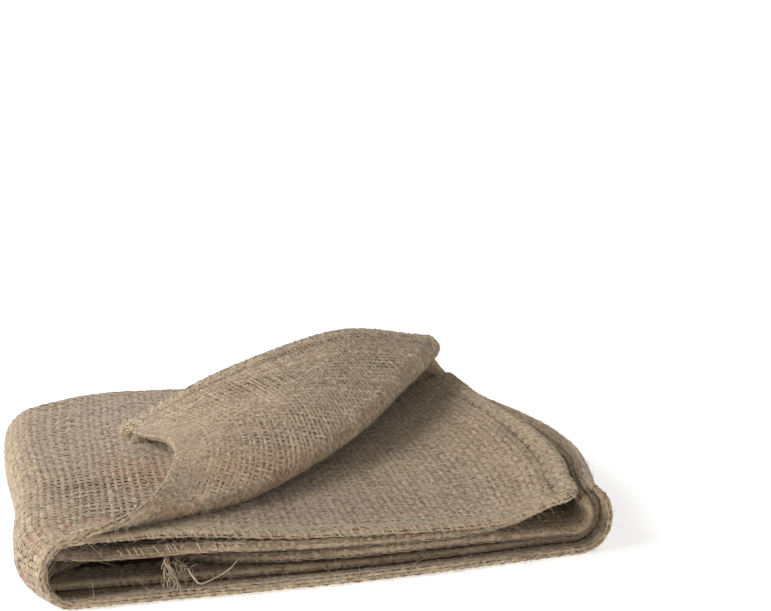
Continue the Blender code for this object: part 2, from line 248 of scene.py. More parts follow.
# Where it stands open: (x, y, radius along x, radius along y, amount).
OPEN_SPOTS = {
    "mouth": (
        (40.0, 76.0, 36.0, 32.0, 0.9), (52.0, 34.0, 26.0, 14.0, 0.5), (4.0, 50.0, 14.0, 40.0, 0.15),
        (150.0, 215.0, 90.0, 60.0, 0.2),
    ),
    "flap": (
        (126.0, 150.0, 30.0, 8.0, 1.0), (105.0, 140.0, 22.0, 7.0, 0.6), (137.0, 100.0, 26.0, 18.0, 0.25),
        (190.0, 190.0, 40.0, 26.0, 0.35), (95.0, 75.0, 24.0, 30.0, 0.25),
    ),
    "seam": (
        (183.0, 31.0, 22.0, 4.0, 0.6), (178.0, 73.0, 22.0, 5.0, 0.4), (168.0, 112.0, 30.0, 24.0, 0.4),
        (102.0, 27.0, 16.0, 6.0, 0.5), (251.0, 46.0, 10.0, 8.0, 0.4),
    ),
    "front": (
        (72.0, 14.0, 18.0, 14.0, 1.0), (110.0, 12.0, 14.0, 12.0, 0.6), (272.0, 36.0, 26.0, 24.0, 1.0),
        (200.0, 16.0, 24.0, 12.0, 0.3),
    ),
}

# Which part of each face has yarns: those that can't be seen are left out.
FLAP_END_X = 26.0             # the flap's yarns run as far as this column of cloth
LIP_YARNS = 4.0               # a face's own yarns reach this far from its edge beside the two sides
PAST_FLAP_FOLD = 3.0
INSIDE_MOUTH = 14.0
INSIDE_ROWS = 8
SEAM_TOP_SHARE = 0.93         # of the way to the left turn
SEAM_UNDER_FLAP = 60.0
SEAM_EDGE = 22.0
FRONT_EDGE = (-22.0, 24.0)
FRONT_CORNER = (50.0, 0.78, 0.86)  # how much deeper they reach at the right, and between which shares
INNER_STRIPE = 0.2            # the stripe's strength on the mouth layer's inner wall

# Cut size, and what lies on the walls.
FRONT_STITCHES = (192.0, 242.0)  # where the front fold's edge is sewn over, from the sewn side
EDGE_CORD = (196.0, 266.0)    # where a plump cord lies along the front fold's edge
EDGE_CORD_POINTS = 90
EDGE_CORD_PLACE = (2.6, 0.25)  # below the fold's middle, and over its face
EDGE_CORD_WAVER = ((9.0, 0.35), (5.0, 0.12))
EDGE_CORD_HALF = (0.85, 0.70)
EDGE_CORD_TONE = 0.75

# Stitches: (name, seed, reach over the edge, slant, half width, unevenness, colour).
STITCHES = (
    ("side", 13, 8.8, 5.5, 0.55, 0.18, "straw"),
    ("bottom", 15, 8.0, -9.0, 0.62, 0.30, "basting"),
    ("front", 14, 3.2, -3.4, 0.42, 0.55, "basting"),
)
STITCH_POINTS = 13
STITCH_HALF_HEIGHT = 0.30
STITCH_RISE = (0.55, 1.1, 4)  # height over the edge, how far its ends sink, and how late
STITCH_REACHES = (0.6, 1.15)  # shortest and longest, as shares
STITCH_SLANTS = (0.6, 1.4)    # and least and most slanting
STITCH_WAVER = (0.18, 0.08)   # along the edge, and in height
STITCH_INNER_SHARE = 0.8
STITCH_MARGIN = 8.0

# Loose threads and frayed ends: (strands, half width, spread, frizz, points that they follow).
LOOSE_STEPS = 12
LOOSE_ROOT = 0.4              # the strands' spread at their root, as a share of that at their tip
LOOSE_WIDTHS = (0.7, 1.3)
LOOSE_TAPER = (1.1, 0.6)
FRIZZ_SPACING = 0.17          # way between two kinks, as a share of a strand
FRIZZ_START = (0.0, 0.3)
LOOSE_THREADS = (
    (1, 0.50, 0.0, 0.25, ((75.0, 8.0, 12.0), (77.0, 4.0, 8.5), (80.0, 2.5, 6.0), (85.0, 4.5, 6.6),
                          (91.0, 7.5, 8.0), (96.0, 7.5, 11.5), (99.0, 10.0, 14.5))),
    (1, 0.16, 0.0, 0.20, ((26.0, 20.0, 25.0), (27.5, 16.0, 20.0), (26.0, 17.0, 16.0))),
    (13, 0.24, 3.0, 1.3, ((66.0, 19.0, 16.5), (66.0, 9.0, 14.0), (67.0, 5.0, 9.5), (68.0, 3.0, 5.0))),
    (8, 0.20, 2.6, 1.2, ((70.0, 17.0, 15.0), (72.0, 10.0, 12.0), (74.0, 6.0, 9.5))),
)
FRAYED_ENDS = (
    (26, 0.26, 1.6, 1.1, ((66.0, 158.0, 40.5), (60.0, 161.0, 40.5), (56.0, 160.0, 39.0),
                          (53.5, 157.0, 37.0))),
    (20, 0.24, 1.8, 1.1, ((64.0, 163.0, 41.0), (59.0, 165.0, 39.5), (55.0, 163.0, 37.0))),
    (14, 0.28, 1.4, 0.9, ((60.0, 155.0, 39.0), (56.0, 156.0, 38.5), (53.0, 160.0, 37.5),
                          (55.0, 165.0, 38.0))),
    (12, 0.24, 1.2, 0.7, ((66.0, 152.0, 38.5), (61.0, 150.0, 36.5), (57.0, 149.0, 35.5))),
)

# Hairs.
HAIR_REACH = 9.0              # how far a hair may stand out of the solid's box
HAIR_MARGIN = 8.0
HAIR_POINTS = 4
HAIR_LENGTH = (3.0, 1.5)      # shape and scale of the gamma spread of their lengths
SHORTEST_HAIR = 1.2
HAIR_ROOT = 0.1
HAIR_RISE = (0.05, 0.75)
HAIR_DROOP = 0.35
HAIR_CURL = 0.5
HAIR_HALF_WIDTH = 0.085
HAIR_TAPER = (1.05, 0.8)

# The stage: the camera in bundle millimetres, and the rest in metres.
CAMERA_PLACE = (25.6, -594.4, 255.0)
CAMERA_WAY = (0.22904, 0.95422, -0.1925)
CAMERA_LENS = 63.04
CAMERA_SENSOR = 36.0
WHITE = (1.0, 1.0, 1.0, 1.0)
SKY_STRENGTH = 0.31
HORIZON_STRENGTH = 1.05
HORIZON_FADE = (0.05, 0.45)   # the bright horizon fades into the sky between these heights
FLOOR_SIZE = 80.0
FLOOR_GREY = 0.75
FLOOR_GLOW_REACH = (0.4, 2.5)  # from the middle, where the pale floor grows brighter
FLOOR_GLOW = (0.58, 0.95)
LAMPS = (                     # (name, place, size, power)
    ("key_left", (-1.16, -0.20, 0.86), 0.9, 19.0),
    ("fill_front", (0.2, -1.5, 0.9), 1.2, 3.0),
)


# ---------------------------------------------------------------------------
# The fold map


def smooth(at, table):
    """Value of each column after the first at these places, by smooth cubic steps through the rows."""
    rows = np.asarray(table, float)
    knots, values = rows[:, 0], rows[:, 1:]
    slopes = np.gradient(values, knots, axis=0)
    at = np.clip(np.asarray(at, float), knots[0], knots[-1])
    left = np.clip(np.searchsorted(knots, at, side="right") - 1, 0, len(knots) - 2)
    span = knots[left + 1] - knots[left]
    t = ((at - knots[left]) / span)[..., None]
    span = span[..., None]
    return (
        (2 * t**3 - 3 * t**2 + 1) * values[left]
        + (t**3 - 2 * t**2 + t) * span * slopes[left]
        + (3 * t**2 - 2 * t**3) * values[left + 1]
        + (t**3 - t**2) * span * slopes[left + 1]
    )


def ramp(at, low, high):
    """0 below low, 1 above high, and an even rise between."""
    t = np.clip((np.asarray(at, float) - low) / (high - low), 0.0, 1.0)
    return t * t * (3 - 2 * t)


def bump(at, centre, width):
    """A soft hump of height 1."""
    return np.exp(-(((at - centre) / width) ** 2))


def unit(vectors):
    """The same directions at length 1."""
    return vectors / np.maximum(np.linalg.norm(vectors, axis=-1, keepdims=True), 1e-9)


def waves(table, *at, base=0.0):
    """Sines added to base. A row gives a wave's height, its length along each way, and its phase."""
    for height, *lengths, phase in table:
        turn = sum(place / length for place, length in zip(at, lengths))
        base = base + height * np.sin(turn + phase)
    return base


def section_curve():
    """The outer face of the rolled bundle seen from the front, as (x, z), with its inward normals."""
    top_x = np.linspace(RIGHT_EDGE_X, LEFT_TURN_X, FLAT_POINTS)
    top = np.stack([top_x, smooth(top_x, TOP_PROFILE)[:, 0]], -1)
    half = top[-1, 1] / 2
    turn = np.radians(np.linspace(90, 270, TURN_POINTS + 1))[1:]
    left = np.stack([LEFT_TURN_X + half * np.cos(turn), half + half * np.sin(turn)], -1)
    bottom_x = np.linspace(LEFT_TURN_X, RIGHT_EDGE_X, FLAT_POINTS)[1:]
    bottom = np.stack([bottom_x, np.zeros_like(bottom_x)], -1)
    turn = np.radians(np.linspace(-90, -90 + RIGHT_TURN_DEG, TURN_POINTS + 1))[1:]
    right = np.stack(
        [RIGHT_EDGE_X + RIGHT_TURN_RADIUS * np.cos(turn), RIGHT_TURN_RADIUS * (1 + np.sin(turn))], -1
    )
    curve = np.concatenate([top, left, bottom, right])
    length = np.concatenate([[0.0], np.cumsum(np.linalg.norm(np.diff(curve, axis=0), axis=1))])
    along = unit(np.gradient(curve, length, axis=0))
    inward = np.stack([-along[:, 1], along[:, 0]], -1)
    return length / length[-1], curve, inward, length[-1]


SHARES, CURVE, INWARD, SECTION_LENGTH = section_curve()


def share_on_top(x):
    """Share of the section at which its top passes this x."""
    return np.interp(-x, -CURVE[:FLAT_POINTS, 0], SHARES[:FLAT_POINTS])


# Where the left turn begins, where it ends, and where the right turn begins.
TURN_SHARES = (
    share_on_top(LEFT_TURN_X),
    SHARES[FLAT_POINTS + TURN_POINTS - 1],
    SHARES[2 * FLAT_POINTS + TURN_POINTS - 2],
)


def stacked(share, depth):
    """(x, z) of the middle of the cloth at this share of the section and this layer number."""
    inset = PAIR_THICKNESS / 2 + LAYER_PITCH * depth
    place = [
        np.interp(share, SHARES, CURVE[:, k]) + inset * np.interp(share, SHARES, INWARD[:, k])
        for k in (0, 1)
    ]
    return np.stack(place, -1)


def in_stack(share, depth, y):
    """Place of the middle of the cloth in the lying stack, with the bundle's own drift."""
    y = y + 0 * share
    left, sewn, right, uncurled = np.moveaxis(smooth(y, DRIFT_ROWS), -1, 0)
    past_turn = np.maximum(share - TURN_SHARES[2], 0.0)
    x, z = np.moveaxis(stacked(share - uncurled * past_turn, depth), -1, 0)
    tuck, tuck_depth = FRONT_TUCK
    left = left + tuck * np.clip(1 - y / tuck_depth, 0.0, 1.0) ** 2
    x = (
        x
        + left * (1 - ramp(x, *LEFT_DRIFT_X))
        + sewn * (1 - ramp(share, *SEWN_DRIFT))
        + right * ramp(share, *RIGHT_DRIFT)
    )
    return np.stack([x, y, z], -1)


def turn_back(share, centre_y, centre_depth, half_depth, facing, steps, outward=1):
    """A fold at the front or back: the cloth passes from one layer to another in a half circle."""
    rows = []
    for angle in np.radians(np.linspace(-90, 90, steps + 1)[1:-1] * outward):
        depth = centre_depth + half_depth * np.sin(angle)
        reach = half_depth * LAYER_PITCH * np.cos(angle)
        rows.append(in_stack(share, depth, centre_y + facing * reach))
    return rows


def run(share, depths, start_y, end_y):
    """A flat run of the cloth between two folds."""
    start_depth, end_depth = depths
    front = np.minimum(start_y, end_y)
    stations = [np.maximum(y, front + STATION_GAP * k) for k, y in enumerate(STATIONS, 1)]
    if np.mean(end_y) < np.mean(start_y):
        stations.reverse()
    rows = [in_stack(share, start_depth, start_y)]
    for y in stations:
        part = ramp((y - start_y) / (end_y - start_y), 0.0, 1.0)
        rows.append(in_stack(share, start_depth + (end_depth - start_depth) * part, y))
    return rows + [in_stack(share, end_depth, end_y)]


def flap_column(columns, back_y):
    """Rows of the mouth layer where its corner is turned back: edge, flap, fold, then the flat run."""
    fold_x, fold_y, fold_z, radius, curl, edge_x, edge_y, edge_z, inner_rise, outer_rise, bow = smooth(
        columns, FLAP_ROWS
    ).T
    ahead, behind = (smooth(columns + step, FLAP_ROWS)[:, :2] for step in (1.0, -1.0))
    along = unit(ahead - behind)
    outward = np.stack([along[:, 1], -along[:, 0]], -1)
    centre = np.stack([fold_x, fold_y], -1) - outward * radius[:, None]

    def nose(angle):
        plan = centre + outward * (radius * np.cos(angle))[:, None]
        plan = plan - along * (HELIX_SHARE * curl * radius * angle)[:, None]
        return np.column_stack([plan, fold_z + radius * np.sin(angle)])

    def between(share, rise, swing):
        point = top + (edge - top) * share
        return point + np.column_stack([0 * rise, -swing, rise])

    top = nose((curl - 0.5) * np.pi)
    edge = np.stack([edge_x, edge_y, edge_z], -1)
    knots = [edge, between(2 / 3, outer_rise, bow), between(1 / 3, inner_rise, INNER_BOW * bow), top]
    table = [np.append(k, knot) for k, knot in enumerate(knots)]
    last = len(knots) - 1
    rows = [smooth(last * k / FLAP_STEPS, table).reshape(-1, 3) for k in range(FLAP_STEPS)]
    rows += [nose(curl * (1 - k / NOSE_STEPS) * np.pi - np.pi / 2) for k in range(NOSE_STEPS + 1)]
    base = rows[-1]
    back = np.stack([base[:, 0], back_y, base[:, 2]], -1)
    return rows + [base + (back - base) * k / OPEN_STEPS for k in range(1, OPEN_STEPS + 1)]


def sack_rows(share):
    """The middle surface of the folded cloth, row by row from the mouth to the bottom seam."""
    mouth_y, mouth_tuck, front_y, seam_y, back_y, fold_top, fold_bottom = smooth(share, EDGE_ROWS).T
    half_outer = INNER_LAYER / 2
    back_centre = back_y - half_outer * LAYER_PITCH
    slant = np.abs(np.gradient(back_y, share)) / SECTION_LENGTH
    inner_back = back_centre - INNER_BACK[0] - INNER_BACK[1] * slant
    fold_middle = (fold_top + fold_bottom) / 2
    fold_half = (fold_bottom - fold_top) / 2
    front_centre = front_y + fold_half * LAYER_PITCH
    columns = np.where(share < TURN_SHARES[0], stacked(share, 0)[:, 0], NOT_ON_TOP)
    flap_columns = np.clip(columns, FLAP_ROWS[0][0], FLAP_ROWS[-1][0])
    turned_steps = FLAP_STEPS + NOSE_STEPS
    reach = np.where(columns > 0.0, smooth(flap_columns, FLAP_ROWS)[:, 1], PLAIN_REACH) + MOUTH_SLACK
    flat = []
    for k in range(turned_steps + 1):
        ahead = reach * k / turned_steps
        tuck = mouth_tuck * np.clip(1 - ahead / TUCK_DEPTH, 0.0, 1.0) ** 2
        flat.append(in_stack(share, tuck, mouth_y + ahead))
    flat += [
        in_stack(share, 0, mouth_y + reach + (back_centre - mouth_y - reach) * k / OPEN_STEPS)
        for k in range(1, OPEN_STEPS + 1)
    ]
    turned = flap_column(flap_columns, back_centre)
    share_turned = ramp(columns, *FLAP_START_X)[:, None]
    rows = [a + (b - a) * share_turned for a, b in zip(flat, turned)]
    lift = rows[-1] - flat[-1]
    turn = turn_back(share, back_centre, half_outer, half_outer, 1, OUTER_TURN_STEPS)
    for k, row in enumerate(turn, 1):
        rows.append(row + lift * (1 + np.cos(np.pi * k / OUTER_TURN_STEPS)) / 2)
    marks = {"flat": turned_steps, "back": len(rows)}
    rows += run(share, (INNER_LAYER, fold_bottom), back_centre, front_centre)
    marks["front"] = len(rows) + INNER_TURN_STEPS // 2
    rows += turn_back(share, front_centre, fold_middle, fold_half, -1, INNER_TURN_STEPS, -1)
    rows += run(share, (fold_top, 2), front_centre, inner_back)
    rows += turn_back(share, inner_back, *INNER_BACK_LAYERS, 1, INNER_TURN_STEPS, -1)
    rows += run(share, (1, 1), inner_back, seam_y)[:-1]
    first = STATIONS[0]
    rows += [in_stack(share, 1, first + (seam_y - first) * k / SEAM_STEPS) for k in range(1, SEAM_STEPS + 1)]
    return settle(np.stack(rows, 0)), marks


def settle(points):
    """Wrinkles the bundle a little as a whole, so that no layer crosses another and the bottom stays flat."""
    x, y, z = np.moveaxis(points, -1, 0)
    raised = np.clip((z - FLAT_HEIGHT) / FLAT_HEIGHT, 0.0, 1.0)
    height, length = EDGE_WAVE
    moved = points.copy()
    moved[..., 1] = y + height * np.sin(x / length) * (1 - np.clip(z / EDGE_WAVE_TOP, 0.0, 1.0))
    moved[..., 2] = z + raised * waves(TOP_WAVES, x, y)
    return moved


def normals_of(points):
    """Outer normals of a grid of points, where rows run from the mouth and columns from the sewn side."""
    return unit(np.cross(np.gradient(points, axis=0), np.gradient(points, axis=1)))


def lengths_of(points):
    """Length along each column of a grid of points, from its first row."""
    lengths = np.zeros(points.shape[:2])
    lengths[1:] = np.cumsum(np.linalg.norm(np.diff(points, axis=0), axis=-1), axis=0)
    return lengths


def stand_off(u, from_mouth, from_seam):
    """How far one wall's yarns lie from the cloth's middle: plump at its edges, pinched at its stitches."""
    distances = {"sewn side": u, "folded side": SECTION_LENGTH - u, "mouth": from_mouth, "seam": from_seam}
    plump = PLY_OFFSET
    for edge, distance, width, height in PLUMPNESS:
        plump = plump + height * bump(distances[edge], distance, width)
    from_side, from_end = np.minimum(u, SECTION_LENGTH - u), np.minimum(from_mouth, from_seam)
    taper = CORNER_THINNING * bump(from_side, 0.0, CORNER_TAPER) * bump(from_end, 0.0, CORNER_TAPER)
    return plump * (1 - taper)


FACE_U = np.linspace(0.0, 1.0, FACE_COLUMNS) * SECTION_LENGTH
GRID, MARKS = sack_rows(FACE_U / SECTION_LENGTH)
NORMALS = normals_of(GRID)
FROM_MOUTH = lengths_of(GRID)
FROM_SEAM = FROM_MOUTH[-1] - FROM_MOUTH
STAND_OFF = stand_off(FACE_U, FROM_MOUTH, FROM_SEAM)


def lip(edge, before, normal, off):
    """The rounded edge that leads from one wall's face to the other's."""
    out = unit(edge - before)
    angles = np.radians(LIP_DEGREES)
    return [edge + off[..., None] * (normal * np.cos(a) + out * np.sin(a)) for a in angles]


class Face:
    """A stretch of the cloth's face. s runs along its columns, and t along its rows from its edge."""

    def __init__(self, rows, s, zero):
        rows = np.asarray(rows)
        t = lengths_of(rows)
        t = t - t[zero]
        self.s, self.low, self.high = s, t[0], t[-1]
        self.row_t, self.zero = t, zero
        self.t = np.arange(t[0].min(), t[-1].max() + FACE_STEP, FACE_STEP)
        self.points = np.empty((len(self.t), len(s), 3))
        for c in range(len(s)):
            for k in range(3):
                self.points[:, c, k] = np.interp(self.t, t[:, c], rows[:, c, k])
        self.normals = -normals_of(self.points)

    def column(self, s):
        return np.interp(s, self.s, np.arange(len(self.s)))

    def along(self, values, s):
        """A value that is known for each column, read at these s."""
        return np.interp(self.column(s), np.arange(len(self.s)), values)

    def inside(self, s, t):
        return (t > self.along(self.low, s)) & (t < self.along(self.high, s))

    def read(self, s, t):
        """Places and normals at these s and t."""
        c = self.column(s)
        r = np.clip((np.asarray(t, float) - self.t[0]) / FACE_STEP, 0.0, len(self.t) - 1.0)
        c0 = np.minimum(c.astype(int), len(self.s) - 2)
        r0 = np.minimum(r.astype(int), len(self.t) - 2)
        fc, fr = (c - c0)[..., None], (r - r0)[..., None]
        found = []
        for values in (self.points, self.normals):
            near = values[r0, c0] * (1 - fc) + values[r0, c0 + 1] * fc
            far = values[r0 + 1, c0] * (1 - fc) + values[r0 + 1, c0 + 1] * fc
            found.append(near * (1 - fr) + far * fr)
        place, normal = found
        return place, unit(normal)


def wall_face(side):
    """One wall's face as a grid: 1 is the wall that lies outside where the sack is rolled."""
    return GRID + side * NORMALS * STAND_OFF[..., None]


def mouth_face():
    """The mouth layer: t below 0 on its outer wall, above 0 on its inner wall, which the flap shows."""
    outer = wall_face(1)[: MARKS["back"] + PAST_BACK]
    inner = wall_face(-1)[: MARKS["flat"] + PAST_FLAT]
    edge = lip(GRID[0], GRID[1], NORMALS[0], STAND_OFF[0])
    return Face([*outer[::-1], *edge, *inner], FACE_U, len(outer) + LIP_MIDDLE)


def inner_row(face, row, s):
    """t of this row of the mouth layer's inner wall, counted from its edge, at these s."""
    return face.along(face.row_t[face.zero + LIP_MIDDLE + 1 + row], s)


def seam_face():
    """The layer that ends at the bottom seam: t below 0 on its upper wall, above 0 on its lower wall."""
    count = len(STATIONS) + SEAM_STEPS + 1
    upper, lower = wall_face(-1)[-count:], wall_face(1)[-SEAM_STEPS - PAST_SEAM:]
    edge = lip(GRID[-1], GRID[-2], -NORMALS[-1], STAND_OFF[-1])
    return Face([*upper, *edge, *lower[::-1]], FACE_U, len(upper) + LIP_MIDDLE)


def front_face():
    """The two deepest layers, joined by the front fold: t above 0 on the deepest one."""
    start, end = MARKS["front"] - len(STATIONS) - PAST_BACK, MARKS["front"] + PAST_FRONT
    return Face(wall_face(1)[start:end][::-1], FACE_U, end - 1 - MARKS["front"])


def line_at(u, side):
    """One wall's face along one line of the cloth, from the mouth to the seam."""
    c = u / SECTION_LENGTH * (FACE_COLUMNS - 1)
    c0 = min(int(c), FACE_COLUMNS - 2)
    middle, normal, from_mouth, from_seam = (
        grid[:, c0] * (c0 + 1 - c) + grid[:, c0 + 1] * (c - c0)
        for grid in (GRID, NORMALS, FROM_MOUTH, FROM_SEAM)
    )
    return middle + side * normal * stand_off(u, from_mouth, from_seam)[:, None]


def side_face(column, beside, side):
    """The strip that wraps one side of every layer, with t above 0 on the given wall."""
    edge = lip(GRID[:, column], GRID[:, beside], -side * NORMALS[:, column], STAND_OFF[:, column])
    lines = [u if column == 0 else SECTION_LENGTH - u for u in EDGE_LINES]
    rows = [line_at(u, -side) for u in lines[::-1]] + edge + [line_at(u, side) for u in lines]
    return Face(rows, FROM_MOUTH[:, column], len(EDGE_LINES) + LIP_MIDDLE)


def sewn_edge_face():
    """The sewn side's strip: t above 0 on the outer wall."""
    return side_face(0, 1, 1)


def side_fold_face():
    """The folded side's strip: t below 0 on the outer wall."""
    return side_face(-1, -2, -1)


# ---------------------------------------------------------------------------
# Meshes


def new_mesh_object(name, points, faces, material, uv=None, **attributes):
    """An object from points in bundle millimetres and an array of quads."""
    mesh = bpy.data.meshes.new(name)
    points = np.array(points, float)
    points[:, 2] = np.maximum(points[:, 2], FLOOR_CLEARANCE)
    points = (points - BUNDLE_CENTRE) * MM
    faces = np.asarray(faces, np.int32)
    mesh.vertices.add(len(points))
    mesh.vertices.foreach_set("co", points.astype(np.float32).ravel())
    mesh.loops.add(faces.size)
    mesh.loops.foreach_set("vertex_index", faces.ravel())
    mesh.polygons.add(len(faces))
    mesh.polygons.foreach_set("loop_start", np.arange(0, faces.size, faces.shape[1], dtype=np.int32))
    if uv is not None:
        layer = mesh.uv_layers.new(name="weave")
        layer.data.foreach_set("uv", np.asarray(uv, np.float32).ravel())
    for key, values in attributes.items():
        mesh.attributes.new(key, "FLOAT", "POINT").data.foreach_set("value", values.astype(np.float32))
    mesh.update(calc_edges=True)
    mesh.validate()
    mesh.shade_smooth()
    mesh.set_sharp_from_angle(angle=SHARP_ANGLE)
    mesh.materials.append(material)
    made = bpy.data.objects.new(name, mesh)
    bpy.context.scene.collection.objects.link(made)
    return made


def dress(piece):
    """Every piece rides on the one body."""
    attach(piece, "root")


def tubes(place, normal, half_width, half_height, keep, **values):
    """Flattened four-sided tubes along the rows of place, where keep is true: points, quads and values."""
    count, steps = place.shape[:2]
    tangent = unit(np.gradient(place, axis=1))
    across = unit(np.cross(normal, tangent))
    up = np.cross(tangent, across)
    ring = np.stack([
        place + across * half_width[..., None], place + up * half_height[..., None],
        place - across * half_width[..., None], place - up * half_height[..., None],
    ], 2)
    index = np.arange(count * steps * 4).reshape(count, steps, 4)
    joined = keep[:, :-1] & keep[:, 1:]
    near, far = index[:, :-1][joined], index[:, 1:][joined]
    quads = [
        np.stack([near[:, s], near[:, (s + 1) % 4], far[:, (s + 1) % 4], far[:, s]], -1) for s in range(4)
    ]
    started = np.zeros((count, steps), bool)
    ended = np.zeros((count, steps), bool)
    started[:, :-1] = joined & ~np.pad(joined, ((0, 0), (1, 0)))[:, :-1]
    ended[:, 1:] = joined & ~np.pad(joined, ((0, 0), (0, 1)))[:, 1:]
    quads += [index[started][:, (0, 3, 2, 1)], index[ended][:, (0, 1, 2, 3)]]
    used, quads = np.unique(np.concatenate(quads), return_inverse=True)
    spread = {}
    for key, value in values.items():
        at_ring = np.repeat((value + 0 * half_width)[..., None], 4, 2)
        spread[key] = at_ring.reshape(-1)[used]
    return ring.reshape(-1, 3)[used], quads.reshape(-1, 4), spread


def wander(rng, count, at, spacing, size):
    """A gently random number along each of several yarns: knots this far apart, joined smoothly."""
    knots = np.arange(at.min() - spacing, at.max() + 2 * spacing, spacing)
    values = rng.normal(0.0, size, (count, len(knots)))
    place = (at - knots[0]) / spacing
    left = place.astype(int)
    t = place - left
    t = t * t * (3 - 2 * t)
    return values[:, left] * (1 - t) + values[:, left + 1] * t


def waver(rng, base, at, table):
    """base, a number for each yarn, with a row of wander for each (spacing, size) of the table."""
    for spacing, size in table:
        base = base + wander(rng, len(base), at, spacing, size)
    return base


def openness(place, zone):
    """How open the weave stands at these places, from 0 to 1."""
    x, y, z = np.moveaxis(place, -1, 0)
    amount = waves(OPEN_WAVES, x, y, z, base=OPEN_BASE[zone])
    height, along_x, along_y, along_z = OPEN_DAPPLE
    amount = amount + height * np.sin(x / along_x + z / along_z) * np.sin(y / along_y)
    for spot_x, spot_y, radius_x, radius_y, extra in OPEN_SPOTS.get(zone, ()):
        amount = amount + extra * np.exp(-(((x - spot_x) / radius_x) ** 2) - ((y - spot_y) / radius_y) ** 2)
    return np.clip(amount, 0.0, 1.0)


def plan(places, factors, pairs=None):
    """Yarns or crossings in order: (place, factor of the wave there, side of its pair)."""
    pairs = np.zeros(len(places)) if pairs is None else pairs
    return np.stack([places, factors, pairs], -1)


def pair_plans(low, high, edge=0.0, flip=1):
    """The warps from low to high, in pairs, and the wave that a weft makes over them."""
    centres = np.arange(np.ceil((low - edge) / WARP_PAIR_PITCH), np.floor((high - edge) / WARP_PAIR_PITCH))
    factors = flip * (-1.0) ** np.abs(centres)
    centres = edge + WARP_PAIR_PITCH * (centres + 0.5)
    warps = plan(np.repeat(centres, 2), np.repeat(factors, 2), np.tile((-1.0, 1.0), len(centres)))
    wave = plan(
        np.stack([centres - WARP_PAIR_PITCH / 2, centres], -1).ravel(),
        np.stack([0 * factors, factors], -1).ravel(),
    )
    return warps, wave


def edged_plans(low, high, edge_count):
    """The same, with close single warps on both sides of an edge at 0."""
    close = SELVEDGE_PITCH * (np.arange(edge_count) + 0.5)
    close = plan(close, (-1.0) ** np.arange(edge_count))
    start = SELVEDGE_PITCH * edge_count
    flip = (-1.0) ** edge_count
    plans = []
    for reach, sign in ((-low, -1.0), (high, 1.0)):
        warps, wave = pair_plans(start, reach, start, flip)
        warps, wave = np.concatenate([close, warps]), np.concatenate([close, wave])
        turned = np.array([sign, sign, sign])
        plans.append((warps * turned, wave * turned))
    (warps_low, wave_low), (warps_high, wave_high) = plans
    return np.concatenate([warps_low[::-1], warps_high]), np.concatenate([wave_low[::-1], wave_high])


def wefts_round():
    """The wefts from the sewn side round to the folded side."""
    places = np.arange(WEFT_PITCH / 2, SECTION_LENGTH, WEFT_PITCH)
    return plan(places, (-1.0) ** np.arange(len(places)))


def weave(name, face, weft_way, wefts, warps, weft_wave, keep, colours, open_at, seed,
          dye=None, bend=True, crease=CREASE_SHADE):
    """The wefts and the warps of one face, as two pieces. weft_way is "t" or "s"."""
    rng = np.random.default_rng(SEED + seed)
    for kind, yarns, wave, sign in (("wefts", wefts, weft_wave, 1.0), ("warps", warps, wefts, -1.0)):
        one_each, at = (len(yarns), 1), wave[:, 0]
        length_way = (weft_way == "t") == (kind == "wefts")
        own = waver(rng, yarns[:, :1], at, LAID_WAVER)
        far = at + 0 * own
        s, t = (own, far) if length_way else (far, own)
        if bend:
            shift_s, shift_t = waves(SWAY_U, s, np.abs(t)), waves(SWAY_V, s, np.abs(t))
            s = np.clip(s + shift_s * ramp(s, *SWAY_START_U), face.s[0] + SIDE_GAP, face.s[-1] - SIDE_GAP)
            t = t + np.sign(t) * shift_t * ramp(np.abs(t), *SWAY_START_V)
        place, _ = face.read(s, t)
        opened = open_at(place, t)
        weft_half, warp_half, pair_half = (
            closed + (wide - closed) * opened for closed, wide in zip(CLOSED_WEAVE, OPEN_WEAVE)
        )
        half = weft_half
        if kind == "warps":
            spread = yarns[:, 2:] * pair_half
            s, t = (s + spread, t) if length_way else (s, t + spread)
            half = warp_half * np.where(yarns[:, 2:] == 0.0, SELVEDGE_WIDTH, 1.0)
        place, normal = face.read(s, t)
        crimp = CRIMP * (1.0 - OPEN_CRIMP * opened)
        height = sign * (crimp * wave[:, 1] * yarns[:, 1:2] - WARP_LIFT * (1.0 - opened))
        slub = waver(rng, np.zeros(one_each), at, SPUN_WAVER) + rng.normal(0.0, SPUN_SPREAD, one_each)
        width = half * np.clip(1 + slub, *SPUN_WIDTH)
        tall = YARN_HALF_HEIGHT * np.clip(1 + SPUN_FLATNESS * slub, *SPUN_HEIGHT)
        tone = waver(rng, 0.5 + rng.normal(0.0, TONE_SPREAD, one_each), at, TONE_WAVER)
        dyed = 0 * tone if dye is None or kind == "wefts" else dye(yarns[:, :1], s, t)
        raised = height + waver(rng, np.zeros(one_each), at, RAISED_WAVER)
        place = place + normal * raised[..., None]
        kept = keep(s, t) & face.inside(s, t)
        # Painted shade along the groove that the side's stitches pull in.
        groove_shade = crease * bump(s, GROOVE_U, GROOVE_SHADE_HALF_WIDTH) if weft_way == "t" else 0.0
        points, quads, values = tubes(place, normal, width, tall, kept, tone=tone, dye=dyed, crease=groove_shade)
        dress(new_mesh_object(f"{name}_{kind}", points, quads, yarn_material(colours), **values))


def crossing_tubes(name, face, rows_s, rows_t, height, half_width, half_height, material, **values):
    """Threads that lie over a face along given ways, as one piece."""
    place, normal = face.read(rows_s, rows_t)
    place = place + normal * height[..., None]
    keep = np.ones(place.shape[:2], bool)
    points, quads, values = tubes(
        place, normal, half_width + 0 * height, half_height + 0 * height, keep, **values
    )
    dress(new_mesh_object(name, points, quads, material, **values))


# ---------------------------------------------------------------------------
# Materials


COLOUR_MIX_INPUTS = (0, 6, 7)   # a Mix node's sockets for colours: share, first and second
COLOUR_MIX_OUTPUT = 2


